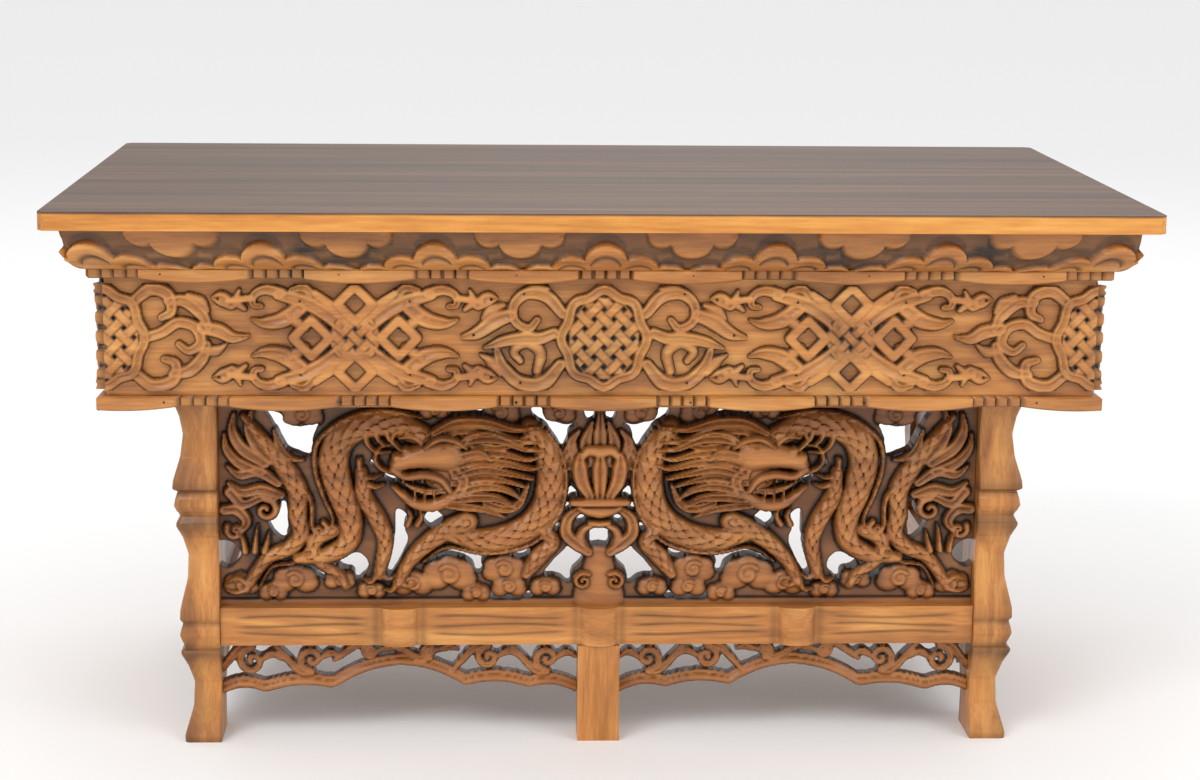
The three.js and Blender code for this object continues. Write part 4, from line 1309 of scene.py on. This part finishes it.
def add_stage():
    material = bpy.data.materials.new("pale_floor")
    material.use_nodes = True
    shader = material.node_tree.nodes["Principled BSDF"]
    shader.inputs["Base Color"].default_value = (0.93, 0.93, 0.93, 1)
    shader.inputs["Roughness"].default_value = 0.9
    bpy.ops.mesh.primitive_plane_add(size=60, location=(0, 0, 0))
    floor = bpy.context.object
    floor.name = "floor"
    floor.data.materials.append(material)
    world = bpy.data.worlds.new("studio")
    bpy.context.scene.world = world
    world.use_nodes = True
    tree = world.node_tree
    sky = tree.nodes["Background"]
    sky.inputs["Color"].default_value = (1, 1, 1, 1)
    sky.inputs["Strength"].default_value = 0.9
    bright = tree.nodes.new("ShaderNodeBackground")
    bright.inputs["Color"].default_value = (1, 1, 1, 1)
    bright.inputs["Strength"].default_value = 1.0
    path = tree.nodes.new("ShaderNodeLightPath")
    pick = tree.nodes.new("ShaderNodeMixShader")
    tree.links.new(path.outputs["Is Camera Ray"], pick.inputs[0])
    tree.links.new(sky.outputs[0], pick.inputs[1])
    tree.links.new(bright.outputs[0], pick.inputs[2])
    tree.links.new(pick.outputs[0], tree.nodes["World Output"].inputs[0])


def add_lamp(name, place, aim, size, power):
    light = bpy.data.lights.new(name, "AREA")
    light.shape = "DISK"
    light.size = size
    light.energy = power
    lamp = bpy.data.objects.new(name, light)
    bpy.context.scene.collection.objects.link(lamp)
    away = Matrix.Translation(place).to_translation() - Matrix.Translation(aim).to_translation()
    lamp.location = place
    lamp.rotation_euler = away.to_track_quat("Z", "Y").to_euler()


def add_camera():
    """Camera from its fitted place, yaw, pitch and roll."""
    cos_p, sin_p = math.cos(CAMERA_PITCH), math.sin(CAMERA_PITCH)
    cos_y, sin_y = math.cos(CAMERA_YAW), math.sin(CAMERA_YAW)
    forward = np.array([sin_y * cos_p, cos_y * cos_p, -sin_p])
    level = np.array([cos_y, -sin_y, 0.0])
    upward = np.cross(level, forward)
    right = math.cos(CAMERA_ROLL) * level + math.sin(CAMERA_ROLL) * upward
    up = -math.sin(CAMERA_ROLL) * level + math.cos(CAMERA_ROLL) * upward
    data = bpy.data.cameras.new("camera")
    data.sensor_width = SENSOR_MM
    data.lens = SENSOR_MM * CAMERA_FOCAL_PX / FRAME_PX[0]
    data.clip_end = 100
    camera = bpy.data.objects.new("camera", data)
    bpy.context.scene.collection.objects.link(camera)
    turn = np.column_stack([right, up, -forward])
    camera.matrix_world = Matrix.Translation(CAMERA_PLACE) @ Matrix(turn.tolist()).to_4x4()
    bpy.context.scene.camera = camera


add_camera()
brass = dress_nodes()
add_dragon_panel(WOODS["carved"])
add_frieze_ornaments(WOODS["ornament"])
add_aprons(WOODS["carved"])
add_front_rail(WOODS["along_x"])
add_side_panels(WOODS["carved_side"])
add_mouldings(WOODS["along_x"])
add_posts(WOODS["along_z"])
iron = metal_finish("blackened_iron", (0.02, 0.016, 0.014), (0.12, 0.09, 0.07), 0.35)
tree = stud_tree()
add_studs("ornament_nails", "root", nail_points(), 0.8, iron, tree)
for side in ("left", "right"):
    add_studs("fixed_leaf_screws_" + side, "root", screw_points(side, "fixed"), 1.9, brass, tree)
    add_studs("moving_leaf_screws_" + side, side + "_side_frame", screw_points(side, "moving"), 1.9, brass,
              tree)
add_stage()
add_lamp("key", (-1.2, -1.9, 2.0), (0, 0, 0.15), 1.4, 26)
add_lamp("fill", (1.6, -1.7, 1.3), (0, 0, 0.15), 1.6, 12)
add_lamp("back", (0.2, 1.9, 1.9), (0, 0, 0.25), 1.6, 8)
bpy.context.scene.view_settings.view_transform = "Standard"
